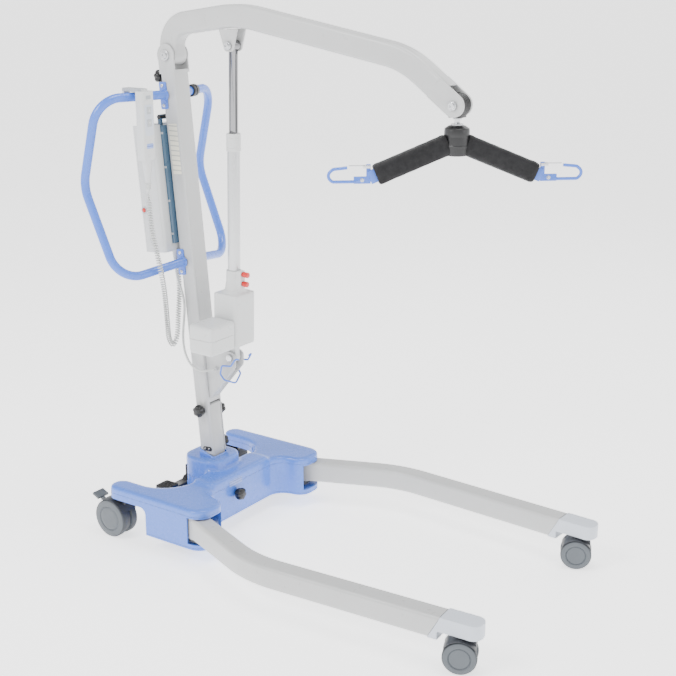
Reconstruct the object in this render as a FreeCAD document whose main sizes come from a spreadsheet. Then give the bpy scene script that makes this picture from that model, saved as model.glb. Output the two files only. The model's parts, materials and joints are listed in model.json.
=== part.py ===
import FreeCAD, Part
import math
import os
import re
import Sketcher

# Mobile patient lift: a wheeled base with two legs that spread, a leaning mast, a boom raised by an
# electric actuator, and a swivelling spreader bar with two sling hooks.
# Millimetres. +X is forward (towards the leg tips), +Y is the left side, +Z is up. The origin lies on
# the floor under the middle of the whole lift. The right side is negative Y.

doc = FreeCAD.newDocument("patient_lift")
V = FreeCAD.Vector
X_AXIS, Y_AXIS, Z_AXIS = V(1, 0, 0), V(0, 1, 0), V(0, 0, 1)

SIZES = {
    # legs
    "leg_width": 50, "leg_height": 55, "leg_top": 117, "leg_corner": 9, "leg_wall": 2.5,
    "leg_pivot_x": -238, "leg_pivot_y": 222.4, "leg_flare": 22, "leg_turn": 25.7, "leg_bend_radius": 300,
    "leg_rear_run": 198.8, "leg_front_run": 423, "cap_start": 452, "cap_length": 139,
    "cap_slant": 29, "cap_foot_x": 475, "cap_arch_length": 95, "cap_arch_floor": 82,
    "pivot_bolt_radius": 8, "fit_gap": 0.05,
    # base
    "cover_wall": 4, "cover_floor": 38, "pod_top": 141, "beam_top": 150, "turret_top": 178,
    "arch_top": 110, "slot_low": 52, "slot_high": 121, "slot_back": -245,
    "frame_low": 55, "frame_high": 105,
    # casters
    "front_wheel_radius": 37.5, "rear_wheel_radius": 50, "wheel_width_front": 18, "wheel_width_rear": 20,
    "wheel_gap": 15, "front_trail": 22, "rear_trail": 25, "stem_radius": 5.5, "axle_radius": 4,
    "front_caster_x": 564, "front_caster_y": 287, "rear_caster_x": -484, "rear_caster_y": 230,
    # mast, measured along its own leaning axis from its foot
    "mast_foot_x": -371, "mast_foot_z": 185, "mast_lean": 5.2, "mast_depth": 44, "mast_width": 54,
    "mast_wall": 3, "mast_pivot": 1022, "mast_head_radius": 27, "mast_cut": 986, "channel_height": 141,
    "channel_width": 42,
    # boom
    "boom_width": 42, "boom_height": 54, "boom_corner": 9, "boom_wall": 3, "boom_rise": 17.4,
    "boom_root_turn": 82, "boom_root_radius": 60, "boom_root_run": 114.8, "boom_crest_turn": 18.15,
    "boom_crest_radius": 313, "boom_main_run": 368.1, "boom_nose_turn": 25.85, "boom_nose_radius": 210,
    "boom_nose_run": 74, "tip_x": 336, "tip_z": 1129, "tip_radius": 25, "tip_pin_radius": 6,
    "clevis_x": -272, "clevis_z": 1231, "clevis_pin_radius": 6, "clevis_gap": 26,
    # actuator, measured down its axis from the clevis pin
    "actuator_lean": 1.486, "rod_radius": 11, "tube_radius": 15.5, "collar_top": 206, "collar_length": 43,
    "tube_end": 586, "housing_top": 600, "housing_low": 735, "housing_depth": 74, "housing_width": 80,
    "tail_drop": 771, "tail_radius": 14, "tail_width": 18,
    # handles and controls
    "handle_radius": 11, "handle_wall": 2, "box_depth": 70, "box_width": 136, "box_low": 541, "box_height": 316,
    "battery_depth": 36, "battery_width": 80, "knob_radius": 16.5,
    # spreader
    "spreader_turn": 40, "hub_radius": 27, "hub_low": 1023, "hub_height": 63, "stem_pin_radius": 6,
    "arm_slope": 22.5, "arm_length": 186, "arm_height": 44, "arm_depth": 38, "arm_core": 10,
    "hook_wire_radius": 3.5,
    # cords
    "coil_radius": 7.25, "cable_radius": 3,
}

sheet = doc.addObject("Spreadsheet::Sheet", "Sizes")
for row, (alias, value) in enumerate(SIZES.items(), start=1):
    sheet.set("A%d" % row, alias)
    sheet.set("B%d" % row, str(value))
    sheet.setAlias("B%d" % row, alias)
doc.recompute()

pieces = []


def size(alias):
    return float(sheet.get(alias))


def bind(obj, **formulas):
    """Tie properties of an object to sheet cells. A formula is written with bare cell aliases."""
    for prop, formula in formulas.items():
        text = re.sub(r"[a-z_]{4,}", lambda m: "Sizes." + m.group() if m.group() in SIZES else m.group(),
                      str(formula))
        obj.setExpression(prop, text)
    return obj


def place(x=0, y=0, z=0, axis=Z_AXIS, angle=0):
    return FreeCAD.Placement(V(x, y, z), FreeCAD.Rotation(axis, angle))


def piece(obj, name):
    """Register a finished sub-part under the name of its node."""
    obj.Label = name
    pieces.append(obj)
    return obj


def box(length, width, height, at, centred=True):
    """A block bound to the sheet. Centred blocks have the middle of their foot at the placement."""
    obj = bind(doc.addObject("Part::Box", "block"), Length=length, Width=width, Height=height)
    doc.recompute()
    if centred:
        at = at.multiply(place(-obj.Length.Value / 2, -obj.Width.Value / 2, 0))
    obj.Placement = at
    return obj


def rod(radius, height, at, along=Z_AXIS):
    """A cylinder that starts at the placement and runs along the given local axis."""
    obj = bind(doc.addObject("Part::Cylinder", "round"), Radius=radius, Height=height)
    obj.Placement = at.multiply(FreeCAD.Placement(V(), FreeCAD.Rotation(Z_AXIS, along)))
    return obj


def cone(radius, top_radius, height, at, along=Z_AXIS):
    obj = bind(doc.addObject("Part::Cone", "cone"), Radius1=radius, Radius2=top_radius, Height=height)
    obj.Placement = at.multiply(FreeCAD.Placement(V(), FreeCAD.Rotation(Z_AXIS, along)))
    return obj


def fuse(*shapes):
    obj = doc.addObject("Part::MultiFuse", "joined")
    obj.Shapes = list(shapes)
    obj.Refine = True
    doc.recompute()
    return obj


def group(*shapes):
    """Separate solids that share one node."""
    obj = doc.addObject("Part::Compound", "group")
    obj.Links = list(shapes)
    doc.recompute()
    return obj


def cut(base, *tools):
    obj = doc.addObject("Part::Cut", "cut")
    obj.Base = base
    obj.Tool = tools[0] if len(tools) == 1 else fuse(*tools)
    obj.Refine = True
    doc.recompute()
    return obj


def soften(base, radius, pick):
    """Round the edges that pick accepts."""
    doc.recompute()
    obj = doc.addObject("Part::Fillet", "softened")
    obj.Base = base
    obj.Edges = [(i, radius, radius) for i, edge in enumerate(base.Shape.Edges, start=1) if pick(edge)]
    doc.recompute()
    return obj


def solid(shape, at=None):
    """A free-form sub-part whose shape is worked out from the sheet's values."""
    obj = doc.addObject("Part::Feature", "formed")
    obj.Shape = shape
    obj.Placement = at or FreeCAD.Placement()
    return obj


def mirrored(source):
    """The left-hand copy of a right-hand sub-part."""
    obj = doc.addObject("Part::Mirroring", "mirrored")
    obj.Source = source
    obj.Normal = Y_AXIS
    doc.recompute()
    return obj


def rounded_wire(points, radii, closed=False):
    """Straight runs through the points, with a tangent arc of the given radius at each corner."""
    count = len(points)
    edges = []
    start = points[0]
    corners = range(count) if closed else range(1, count - 1)
    if closed:
        start = None
    last = None
    for i in corners:
        before, here, after = points[i - 1], points[i], points[(i + 1) % count]
        come, leave = (here - before).normalize(), (after - here).normalize()
        turn = come.getAngle(leave)
        reach = radii[i] * math.tan(turn / 2)
        first, final = here - come * reach, here + leave * reach
        middle = here + (leave - come).normalize() * radii[i] * (1 / math.cos(turn / 2) - 1)
        if start is None:
            opening = first
        else:
            edges.append(Part.LineSegment(start, first).toShape())
        edges.append(Part.Arc(first, middle, final).toShape())
        start = last = final
    edges.append(Part.LineSegment(last, opening if closed else points[-1]).toShape())
    return Part.Wire(edges)


def extruded(points, radii, height, along=Z_AXIS):
    return Part.Face(rounded_wire(points, radii, closed=True)).extrude(along * height)


def bent_rod(points, radii, radius):
    """A round bar bent along the points. Its volume is checked against section times length."""
    path = rounded_wire(points, radii)
    ring = Part.Wire(Part.makeCircle(radius, points[0], points[1] - points[0]))
    shape = path.makePipeShell([ring], True, False)
    expected = math.pi * radius ** 2 * path.Length
    if abs(shape.Volume / expected - 1) > 0.01:
        raise ValueError("bent rod volume %.0f, expected %.0f" % (shape.Volume, expected))
    return shape


def cord_radii(points):
    """Each corner's arc takes 0.45 of the shorter of its two runs."""
    radii = [0]
    for before, here, after in zip(points, points[1:], points[2:]):
        turn = (here - before).getAngle(after - here)
        shorter = min((here - before).Length, (after - here).Length)
        radii.append(0.45 * shorter / math.tan(turn / 2))
    return radii + [0]


def origin_plane(body, role):
    return next(plane for plane in body.Origin.OriginFeatures if plane.Role == role)


def rounded_rectangle(sketch, width, height, corner):
    """A rectangle with round corners about the sketch's origin, all bound to the sheet."""
    doc.recompute()
    half = {"X": 20.0, "Y": 25.0}
    arc_round = 5.0
    quarters = [(1, 1), (-1, 1), (-1, -1), (1, -1)]
    for number, (side_x, side_y) in enumerate(quarters):
        centre = V(side_x * (half["X"] - arc_round), side_y * (half["Y"] - arc_round), 0)
        circle = Part.Circle(centre, Z_AXIS, arc_round)
        start = number * math.pi / 2
        sketch.addGeometry(Part.ArcOfCircle(circle, start, start + math.pi / 2))
    for number in range(4):
        a = sketch.Geometry[number].EndPoint
        b = sketch.Geometry[(number + 1) % 4].StartPoint
        sketch.addGeometry(Part.LineSegment(a, b))
    first = sketch.GeometryCount - 8
    for number, (side_x, side_y) in enumerate(quarters):
        arc = first + number
        for kind, side, extent in (("DistanceX", side_x, width), ("DistanceY", side_y, height)):
            start = half[kind[-1]] - arc_round
            index = sketch.addConstraint(Sketcher.Constraint(kind, -1, 1, arc, 3, side * start))
            bind(sketch, **{"Constraints[%d]" % index: "%d * ((%s) / 2 - (%s))" % (side, extent, corner)})
        index = sketch.addConstraint(Sketcher.Constraint("Radius", arc, arc_round))
        bind(sketch, **{"Constraints[%d]" % index: corner})
        line = first + 4 + number
        following = first + (number + 1) % 4
        sketch.addConstraint(Sketcher.Constraint("Tangent", arc, 2, line, 1))
        sketch.addConstraint(Sketcher.Constraint("Tangent", line, 2, following, 1))


def bent_tube(runs, turns, width, height, corner, wall, at):
    """A hollow box section along straight runs and flat bends, starting along the body's own X.
    Turns are (angle, radius, +1 for left or -1 for right)."""
    body = doc.addObject("PartDesign::Body", "tube")
    path = body.newObject("Sketcher::SketchObject", "path")
    path.AttachmentSupport = [(origin_plane(body, "XY_Plane"), "")]
    path.MapMode = "FlatFace"
    spot, heading = V(0, 0, 0), 0.0
    previous_end = None
    for number, run in enumerate(runs):
        length = size(run)
        ahead = V(math.cos(heading), math.sin(heading), 0)
        line = path.addGeometry(Part.LineSegment(spot, spot + ahead * length))
        spot = spot + ahead * length
        if previous_end is None:
            path.addConstraint(Sketcher.Constraint("Coincident", line, 1, -1, 1))
            path.addConstraint(Sketcher.Constraint("Horizontal", line))
        else:
            path.addConstraint(Sketcher.Constraint("Tangent", previous_end[0], previous_end[1], line, 1))
        index = path.addConstraint(Sketcher.Constraint("Distance", line, length))
        bind(path, **{"Constraints[%d]" % index: run})
        if number == len(turns):
            break
        angle, radius, side = turns[number]
        sweep, bend = math.radians(size(angle)), size(radius)
        normal = V(-math.sin(heading), math.cos(heading), 0) * side
        centre = spot + normal * bend
        begin = math.atan2(-normal.y, -normal.x)
        low, high = (begin, begin + sweep) if side > 0 else (begin - sweep, begin)
        arc = path.addGeometry(Part.ArcOfCircle(Part.Circle(centre, Z_AXIS, bend), low, high))
        heading += sweep * side
        spot = centre + V(math.cos(begin + sweep * side), math.sin(begin + sweep * side), 0) * bend
        near_end, far_end = (1, 2) if side > 0 else (2, 1)
        path.addConstraint(Sketcher.Constraint("Tangent", line, 2, arc, near_end))
        for kind, value, formula in (("Radius", bend, radius), ("Angle", sweep, angle + " * 1 deg")):
            index = path.addConstraint(Sketcher.Constraint(kind, arc, value))
            bind(path, **{"Constraints[%d]" % index: formula})
        previous_end = (arc, far_end)
    profile = body.newObject("Sketcher::SketchObject", "section")
    profile.AttachmentSupport = [(origin_plane(body, "YZ_Plane"), "")]
    profile.MapMode = "FlatFace"
    rounded_rectangle(profile, width, height, corner)
    rounded_rectangle(profile, "%s - 2 * %s" % (width, wall), "%s - 2 * %s" % (height, wall),
                      "%s - %s" % (corner, wall))
    doc.recompute()
    pipe = body.newObject("PartDesign::AdditivePipe", "pipe")
    pipe.Profile = profile
    pipe.Spine = (path, ["Edge%d" % (i + 1) for i in range(len(path.Geometry))])
    pipe.Mode = "Standard"
    body.Tip = pipe
    body.Placement = at
    doc.recompute()
    return body


# ---------------------------------------------------------------- legs

leg_mid = size("leg_top") - size("leg_height") / 2
leg_low = size("leg_top") - size("leg_height")
toe = size("leg_turn") - size("leg_flare")


def leg():
    """Right leg: a bent box tube with a round boss that turns on the pivot bolt, and a moulded cap."""
    pivot = place(size("leg_pivot_x"), -size("leg_pivot_y"), leg_mid, Z_AXIS, -size("leg_flare"))
    tube = bent_tube(["leg_rear_run", "leg_front_run"], [("leg_turn", "leg_bend_radius", 1)],
                     "leg_width", "leg_height", "leg_corner", "leg_wall", pivot)
    foot = place(size("leg_pivot_x"), -size("leg_pivot_y"), leg_low)
    boss = rod("leg_width / 2", "leg_height", foot)
    bore = rod("pivot_bolt_radius + fit_gap", "leg_height + 2", foot.multiply(place(z=-1)))
    # The joint between tube and cap slants: its plane passes the foot of the joint and leans forward.
    tip_x = size("cap_start") + size("cap_length")
    tip_y = -size("front_caster_y") + 2.5
    end = place(tip_x, tip_y, leg_low, Z_AXIS, toe)
    joint = end.multiply(place(size("cap_foot_x") - tip_x - 15, 0, -20, Y_AXIS, size("cap_slant")))
    beyond = box(200, "leg_width * 3", 200, joint.multiply(place(100, 0, -30)))
    piece(cut(fuse(tube, boss), bore, beyond), "right_leg_tube")

    blank = box("cap_length + 40", "leg_width", "leg_height", end.multiply(
        place(-size("cap_length") / 2 - 20, 0, 0)))
    upright = soften(blank, 22, lambda e: e.BoundBox.ZLength > 50 and e.BoundBox.XMin > tip_x - 12)
    behind = box(200, "leg_width * 3", 200, joint.multiply(place(-100, 0, -30)))
    arch = box("cap_arch_length", "leg_width * 2", "cap_arch_floor", end.multiply(
        place(-size("cap_arch_length") / 2, 0, -leg_low)))
    stem = rod("stem_radius + fit_gap", 40, place(size("front_caster_x"), -size("front_caster_y"), 70))
    piece(cut(upright, behind, arch, stem), "right_leg_cap")


leg()
for name in ("leg_tube", "leg_cap"):
    source = next(p for p in pieces if p.Label == "right_" + name)
    piece(mirrored(source), "left_" + name)


# ---------------------------------------------------------------- base

def both_sides(points):
    """Close a right-hand outline with its own mirror image, starting and ending on the middle line."""
    return points + [(x, -y, r) for x, y, r in reversed(points)]


def cover_outline(inset):
    """Plan of the base: front wall, two rounded pods, two arms to the rear casters, rear wall."""
    half = [(-276, -150, 45 + inset), (-197, -164, 34 - inset), (-197, -254, 40 - inset),
            (-514, -256, 27 - inset), (-514, -200, 27 - inset), (-345, -200, 95 + inset)]
    ring = both_sides(half)
    points = [V(x, y, 0) for x, y, r in ring]
    radii = [r for x, y, r in ring]
    wire = rounded_wire(points, radii, closed=True)
    return Part.Face(wire)


def cover_block(inset, floor):
    """The cover's outer form, or the hollow inside it when it is inset by the wall."""
    pods = cover_outline(0)
    turret = [V(-314, -60, 0), V(-438, -60, 0), V(-438, 60, 0), V(-314, 60, 0)]
    tower = Part.Face(rounded_wire(turret, [42] * 4, closed=True))
    beam = [V(-276, -120, 0), V(-345, -120, 0), V(-345, 120, 0), V(-276, 120, 0)]
    bridge = Part.Face(rounded_wire(beam, [20] * 4, closed=True))
    if inset:
        pods = pods.makeOffset2D(-inset)
        tower = tower.makeOffset2D(-inset)
        bridge = bridge.makeOffset2D(-inset)
    parts = []
    for face, top in ((pods, "pod_top"), (tower, "turret_top"), (bridge, "beam_top")):
        face.translate(V(0, 0, floor))
        parts.append(face.extrude(Z_AXIS * (size(top) - inset - floor)))
    return parts[0].fuse(parts[1:]).removeSplitter()


def mast_place(x, y, along, axis=Z_AXIS, angle=0):
    """A place given across and along the leaning mast, measured from the middle of its foot."""
    foot = place(size("mast_foot_x"), 0, size("mast_foot_z"), Y_AXIS, -size("mast_lean"))
    return foot.multiply(place(x, y, along, axis, angle))


def base():
    wall, floor = size("cover_wall"), size("cover_floor")
    shell = cover_block(0, floor).cut(cover_block(wall, floor - 5))
    arch = [V(-560, 0, 0), V(-382, 0, 0), V(-382, 0, size("arch_top")), V(-560, 0, size("arch_top"))]
    wheel_arch = extruded(arch, [5, 5, 18, 5], 640, Y_AXIS)
    wheel_arch.translate(V(0, -320, 0))
    turret_keep = Part.makeBox(175, 240, 200, V(-445, -120, 0))
    shell = shell.cut(wheel_arch.cut(turret_keep))
    for side in (-1, 1):
        slot = Part.makeBox(80, 130, size("slot_high") - size("slot_low"),
                            V(size("slot_back"), -65 + side * 237, size("slot_low")))
        shell = shell.cut(slot)
        lip = Part.makeBox(76, 80, 5, V(-280, -40 + side * 209, floor))
        inside = cover_outline(0).makeOffset2D(-2)
        inside.translate(V(0, 0, floor))
        shell = shell.fuse(lip.common(inside.extrude(Z_AXIS * 5)))
        rear_slot = Part.makeBox(9, 10, 44, V(-430, -5 + side * 48, 107))
        shell = shell.cut(rear_slot)
    tools = [mast_place(0, 0, -120), mast_place(0, 0, -15)]
    for at, length, width, height in ((tools[0], 40, 50, 160), (tools[1], 46, 56, 40)):
        hole = Part.makeBox(length, width, height, V(-length / 2, -width / 2, 0))
        hole.Placement = at
        shell = shell.cut(hole)
    knob_hole = Part.makeCylinder(5, 30, V(-292, -27, 99), X_AXIS)
    shaft_hole = Part.makeCylinder(8, 40, V(-440, 0, 80), X_AXIS)
    piece(solid(shell.cut(knob_hole).cut(shaft_hole).removeSplitter()), "base_cover")

    post_low = mast_place(0, 0, -90)
    post = cut(box("mast_depth - 2 * mast_wall - 1", "mast_width - 2 * mast_wall - 1", 226, post_low),
               box("mast_depth - 2 * mast_wall - 9", "mast_width - 2 * mast_wall - 9", 224,
                   post_low.multiply(place(z=-4))))
    panel_at = mast_place(size("mast_depth") / 2 - 2.5, 0, 1)
    panel = box(4, "channel_width - 2", "channel_height - 8", panel_at)
    piece(fuse(post, panel), "mast_post")

    high = "frame_high - frame_low"
    low = size("frame_low")
    beams = [box(45, 430, high, place(-307.5, 0, low)), box(70, 90, high, place(-357, 0, low))]
    for side in (-1, 1):
        beams.append(box(194, 34, 24, place(-401, side * 228, 111)))
        beams.append(box(28, 34, 60, place(-312, side * 220, 75)))
        for level in (54.5, 118):
            beams.append(box(82, 50, 6, place(-262, side * 220, level)))
        beams.append(box(12, 50, 69.5, place(-297, side * 220, 54.5)))
    holes = [box("mast_depth - 2 * mast_wall - 1", "mast_width - 2 * mast_wall - 1", 226, post_low)]
    for side in (-1, 1):
        holes.append(rod("pivot_bolt_radius", 90, place(size("leg_pivot_x"), side * size("leg_pivot_y"), 45)))
        stem_at = place(size("rear_caster_x"), side * size("rear_caster_y"), 90)
        holes.append(rod("stem_radius + fit_gap", 60, stem_at))
    holes.append(rod("5.05", 40, place(-315, -27, 99), X_AXIS))
    holes.append(rod("6.05", 60, place(-400, 0, 80), X_AXIS))
    piece(cut(fuse(*beams), *holes), "base_frame")

    bolts = []
    for side in (-1, 1):
        at = place(size("leg_pivot_x"), side * size("leg_pivot_y"), 48)
        bolts.append(fuse(rod("pivot_bolt_radius", 82, at), rod("pivot_bolt_radius * 1.6", 6, at)))
    piece(group(*bolts), "leg_pivot_bolts")


def pedal():
    """Rocking foot bar behind the base that spreads the legs, on a shaft along X."""
    shaft = rod(6, 90, place(-467, 0, 80), X_AXIS)
    bar = box(26, 190, 10, place(-462, 0, 75))
    pads = [box(44, 46, 14, place(-468, side * 80, 79)) for side in (-1, 1)]
    round_pads = [soften(pad, 6, lambda e: e.BoundBox.ZLength > 10) for pad in pads]
    hub = rod(13, 26, place(-475, 0, 80), X_AXIS)
    piece(fuse(shaft, bar, hub, *round_pads), "spread_pedal")


def grip_knob(name, at, shank, radius="knob_radius"):
    """A six-lobed grip with its threaded shank. The shank points along the placement's -Z."""
    grip = cone("(%s) * 0.8" % radius, radius, 5, at)
    head = rod(radius, 11, at.multiply(place(z=5)))
    dome = cone(radius, "(%s) * 0.6" % radius, 4, at.multiply(place(z=16)))
    notches = []
    for number in range(6):
        turn = place(0, 0, -1, Z_AXIS, 60 * number)
        notches.append(rod("(%s) * 0.3" % radius, 24, at.multiply(turn).multiply(place(size("knob_radius") * 1.14))))
    core = fuse(grip, head, dome, rod(5, shank, at.multiply(place(z=-shank))))
    return piece(cut(core, *notches), name)


base()
pedal()
grip_knob("front_knob", place(-270, -27, 99, Y_AXIS, 90), 44)


# ---------------------------------------------------------------- casters

def caster(name, x, y, swing, rear):
    """Twin-wheel caster. It trails behind its swivel stem, turned by the swing angle about Z."""
    kind = "rear" if rear else "front"
    radius, trail = size(kind + "_wheel_radius"), size(kind + "_trail")
    frame_low = size("arch_top") if rear else size("cap_arch_floor")
    hub = place(x, y, radius, Z_AXIS, swing).multiply(place(-trail))
    cheek = 13.0
    web = rod("%s_wheel_radius * 0.9" % kind, cheek, hub.multiply(place(y=-cheek / 2)), Y_AXIS)
    collar_low = 2 * radius + 1.2
    stem_foot = place(x, y, 0)
    collar = rod(16, frame_low - 0.6 - collar_low, stem_foot.multiply(place(z=collar_low)))
    neck = box(26, cheek, 2 * radius * 0.5 + 1.4, hub.multiply(place(trail * 0.9)))
    stem = rod("stem_radius", 24, stem_foot.multiply(place(z=collar_low)))
    width = size("wheel_width_" + kind)
    half_gap = size("wheel_gap") / 2
    axle_length = 2 * (half_gap + width) - 4
    axle = rod("axle_radius", axle_length, hub.multiply(place(y=-axle_length / 2)), Y_AXIS)
    shapes = [web, collar, neck, stem, axle]
    if rear:
        pin_at = hub.multiply(place(-22, -cheek / 2, 26))
        slot = box(70, 6.6, 60, hub.multiply(place(-50, 0, 14)))
        piece(fuse(cut(fuse(*shapes), slot), rod(2.5, cheek, pin_at, Y_AXIS)), name + "_caster_fork")
        tilt = hub.multiply(place(-22, 0, 26, Y_AXIS, 26))
        arm = box(44, 6, 10, tilt.multiply(place(-18, 0, -5)))
        pad = box(22, 36, 6, tilt.multiply(place(-38, 0, 2)))
        bore = rod(2.55, cheek, pin_at, Y_AXIS)
        piece(cut(fuse(arm, pad), bore), name + "_brake_lever")
    else:
        piece(fuse(*shapes), name + "_caster_fork")
    for side, label in ((-1, "right"), (1, "left")):
        start = half_gap if side > 0 else -half_gap - width
        at = hub.multiply(place(y=start))
        tyre = rod(kind + "_wheel_radius", width, at, Y_AXIS)
        tyre = soften(tyre, 3, lambda e: e.Length > 4 * radius)
        bore = rod("axle_radius + fit_gap", width + 2, at.multiply(place(y=-1)), Y_AXIS)
        piece(cut(tyre, bore), "%s_%s_wheel" % (name, label))


FRONT_SWING = 24
caster("front_right", size("front_caster_x"), -size("front_caster_y"), FRONT_SWING, False)
caster("front_left", size("front_caster_x"), size("front_caster_y"), FRONT_SWING, False)
caster("rear_right", size("rear_caster_x"), -size("rear_caster_y"), 0, True)
caster("rear_left", size("rear_caster_x"), size("rear_caster_y"), 0, True)


# ---------------------------------------------------------------- mast

def mast():
    """Leaning box tube. Its head is a fork for the boom, and its foot is open in front."""
    half_depth, half_width = size("mast_depth") / 2, size("mast_width") / 2
    trunk = box("mast_depth", "mast_width", "mast_pivot", mast_place(0, 0, 0))
    trunk = soften(trunk, 5, lambda e: e.Length > 900)
    head = rod("mast_head_radius", "mast_width", mast_place(0, -half_width, size("mast_pivot")), Y_AXIS)
    cheeks = box("2 * mast_head_radius - 4", "mast_width", 44, mast_place(0, 0, size("mast_pivot") - 44))
    hollow = box("mast_depth - 2 * mast_wall", "mast_width - 2 * mast_wall", "mast_pivot + 60",
                 mast_place(0, 0, -10))
    fork = box(90, "mast_width - 2 * mast_wall", 120, mast_place(0, 0, size("mast_cut")))
    channel = box(20, "channel_width", "channel_height + 5", mast_place(half_depth, 0, -5))
    pivot = rod(8, 80, mast_place(0, -40, size("mast_pivot")), Y_AXIS)
    knobs = [rod(5.05, 12, mast_place(0, side * 30, along), Y_AXIS * -side)
             for side, along in ((-1, 121), (1, 107), (1, 17))]
    top_knob = rod(5.05, 12, mast_place(-28, 0, 972), X_AXIS)
    piece(cut(fuse(trunk, head, cheeks), hollow, fork, channel, pivot, top_knob, *knobs), "mast_tube")

    grip_knob("right_clamp_knob", mast_place(0, -half_width - 4, 121, X_AXIS, 90), 6.6)
    grip_knob("left_clamp_knob", mast_place(0, half_width + 4, 107, X_AXIS, -90), 6.6)
    grip_knob("foot_clamp_knob", mast_place(0, half_width + 4, 17, X_AXIS, -90), 6.6)
    grip_knob("top_knob", mast_place(-half_depth - 18, 0, 972, Y_AXIS, -90), 20.6)

    pivot_at = mast_place(0, -32, size("mast_pivot"))
    pivot_bolt = fuse(rod(8, 64, pivot_at, Y_AXIS), rod(13, 5, pivot_at, Y_AXIS),
                      rod(13, 5, pivot_at.multiply(place(y=59)), Y_AXIS))
    ears = []
    for side in (-1, 1):
        at = tail_place().multiply(place(y=side * 13))
        ears.append(fuse(rod(6, 8, at, Y_AXIS * side), rod(9, 5, at.multiply(place(y=side * 6)), Y_AXIS * side)))
    piece(group(pivot_bolt, *ears), "mast_bolts")


def tail_place():
    """The pin at the actuator's tail, held by the ears of the mast bracket."""
    lean = math.radians(size("actuator_lean"))
    drop = size("tail_drop")
    return place(size("clevis_x") - drop * math.sin(lean), 0, size("clevis_z") - drop * math.cos(lean))


def tail_bracket():
    """Two ears from the mast's front face to the actuator's tail pin, and a rib under them."""
    tail = tail_place().Base
    ears = []
    face_high, face_low = mast_place(22.2, 0, 290).Base, mast_place(22.2, 0, 150).Base
    for side in (-1, 1):
        y = 13 if side > 0 else -18
        outline = [V(face_low.x, y, face_low.z), V(tail.x + 16, y, tail.z - 22),
                   V(tail.x + 16, y, tail.z + 15), V(tail.x - 22, y, tail.z + 15),
                   V(face_high.x, y, face_high.z)]
        ears.append(extruded(outline, [2, 14, 14, 8, 2], 5, Y_AXIS))
    rib_outline = [V(face_low.x, -13, face_low.z), V(tail.x - 6, -13, tail.z - 38),
                   V(tail.x - 12, -13, tail.z - 44 + 12), V(face_low.x, -13, face_low.z + 24)]
    rib = extruded(rib_outline, [1, 2, 2, 1], 26, Y_AXIS)
    bracket = ears[0].fuse([ears[1], rib])
    for side in (-1, 1):
        bracket = bracket.cut(Part.makeCylinder(6, 12, V(tail.x, side * 12, tail.z), Y_AXIS * side))
    grommet = Part.makeCylinder(5, 12, V(-334, -30, 425), V(0, 1, 0))
    piece(solid(bracket.fuse(grommet).removeSplitter()), "actuator_bracket")


def parking_hook():
    """Blue wire hook under the bracket, on which the spreader is parked."""
    right = [V(-262, -21, 462), V(-262, -33, 466), V(-276, -34, 445), V(-306, -34, 441), V(-312, -34, 418),
             V(-300, -33, 404), V(-290, 0, 388)]
    path = right + [V(p.x, -p.y, p.z) for p in reversed(right[:-1])]
    radii = [0] + [5, 7, 7, 8, 9] + [14] + [9, 8, 7, 7, 5] + [0]
    piece(solid(bent_rod(path, radii, 2.2)), "sling_hook")


def handle():
    """Right push handle: a tube bowed out and back, on two plates at the mast's side."""
    path = [V(-468, -31, 1108), V(-522, -208, 1108), V(-577, -212, 896), V(-480, -206, 668), V(-427, -31, 694)]
    radii = [0, 68, 95, 68, 0]
    tube = bent_rod(path, radii, size("handle_radius"))
    tube = tube.cut(bent_rod(path, radii, size("handle_radius") - size("handle_wall")))
    plates = []
    for along in (926, 511):
        plate = Part.makeBox(22, 3.6, 66, V(-28, -1.8, -33))
        plate.Placement = mast_place(0, -size("mast_width") / 2 - 2.1, along)
        plates.append(plate)
    piece(solid(tube.fuse(plates).removeSplitter()), "right_handle")
    piece(mirrored(pieces[-1]), "left_handle")


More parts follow.
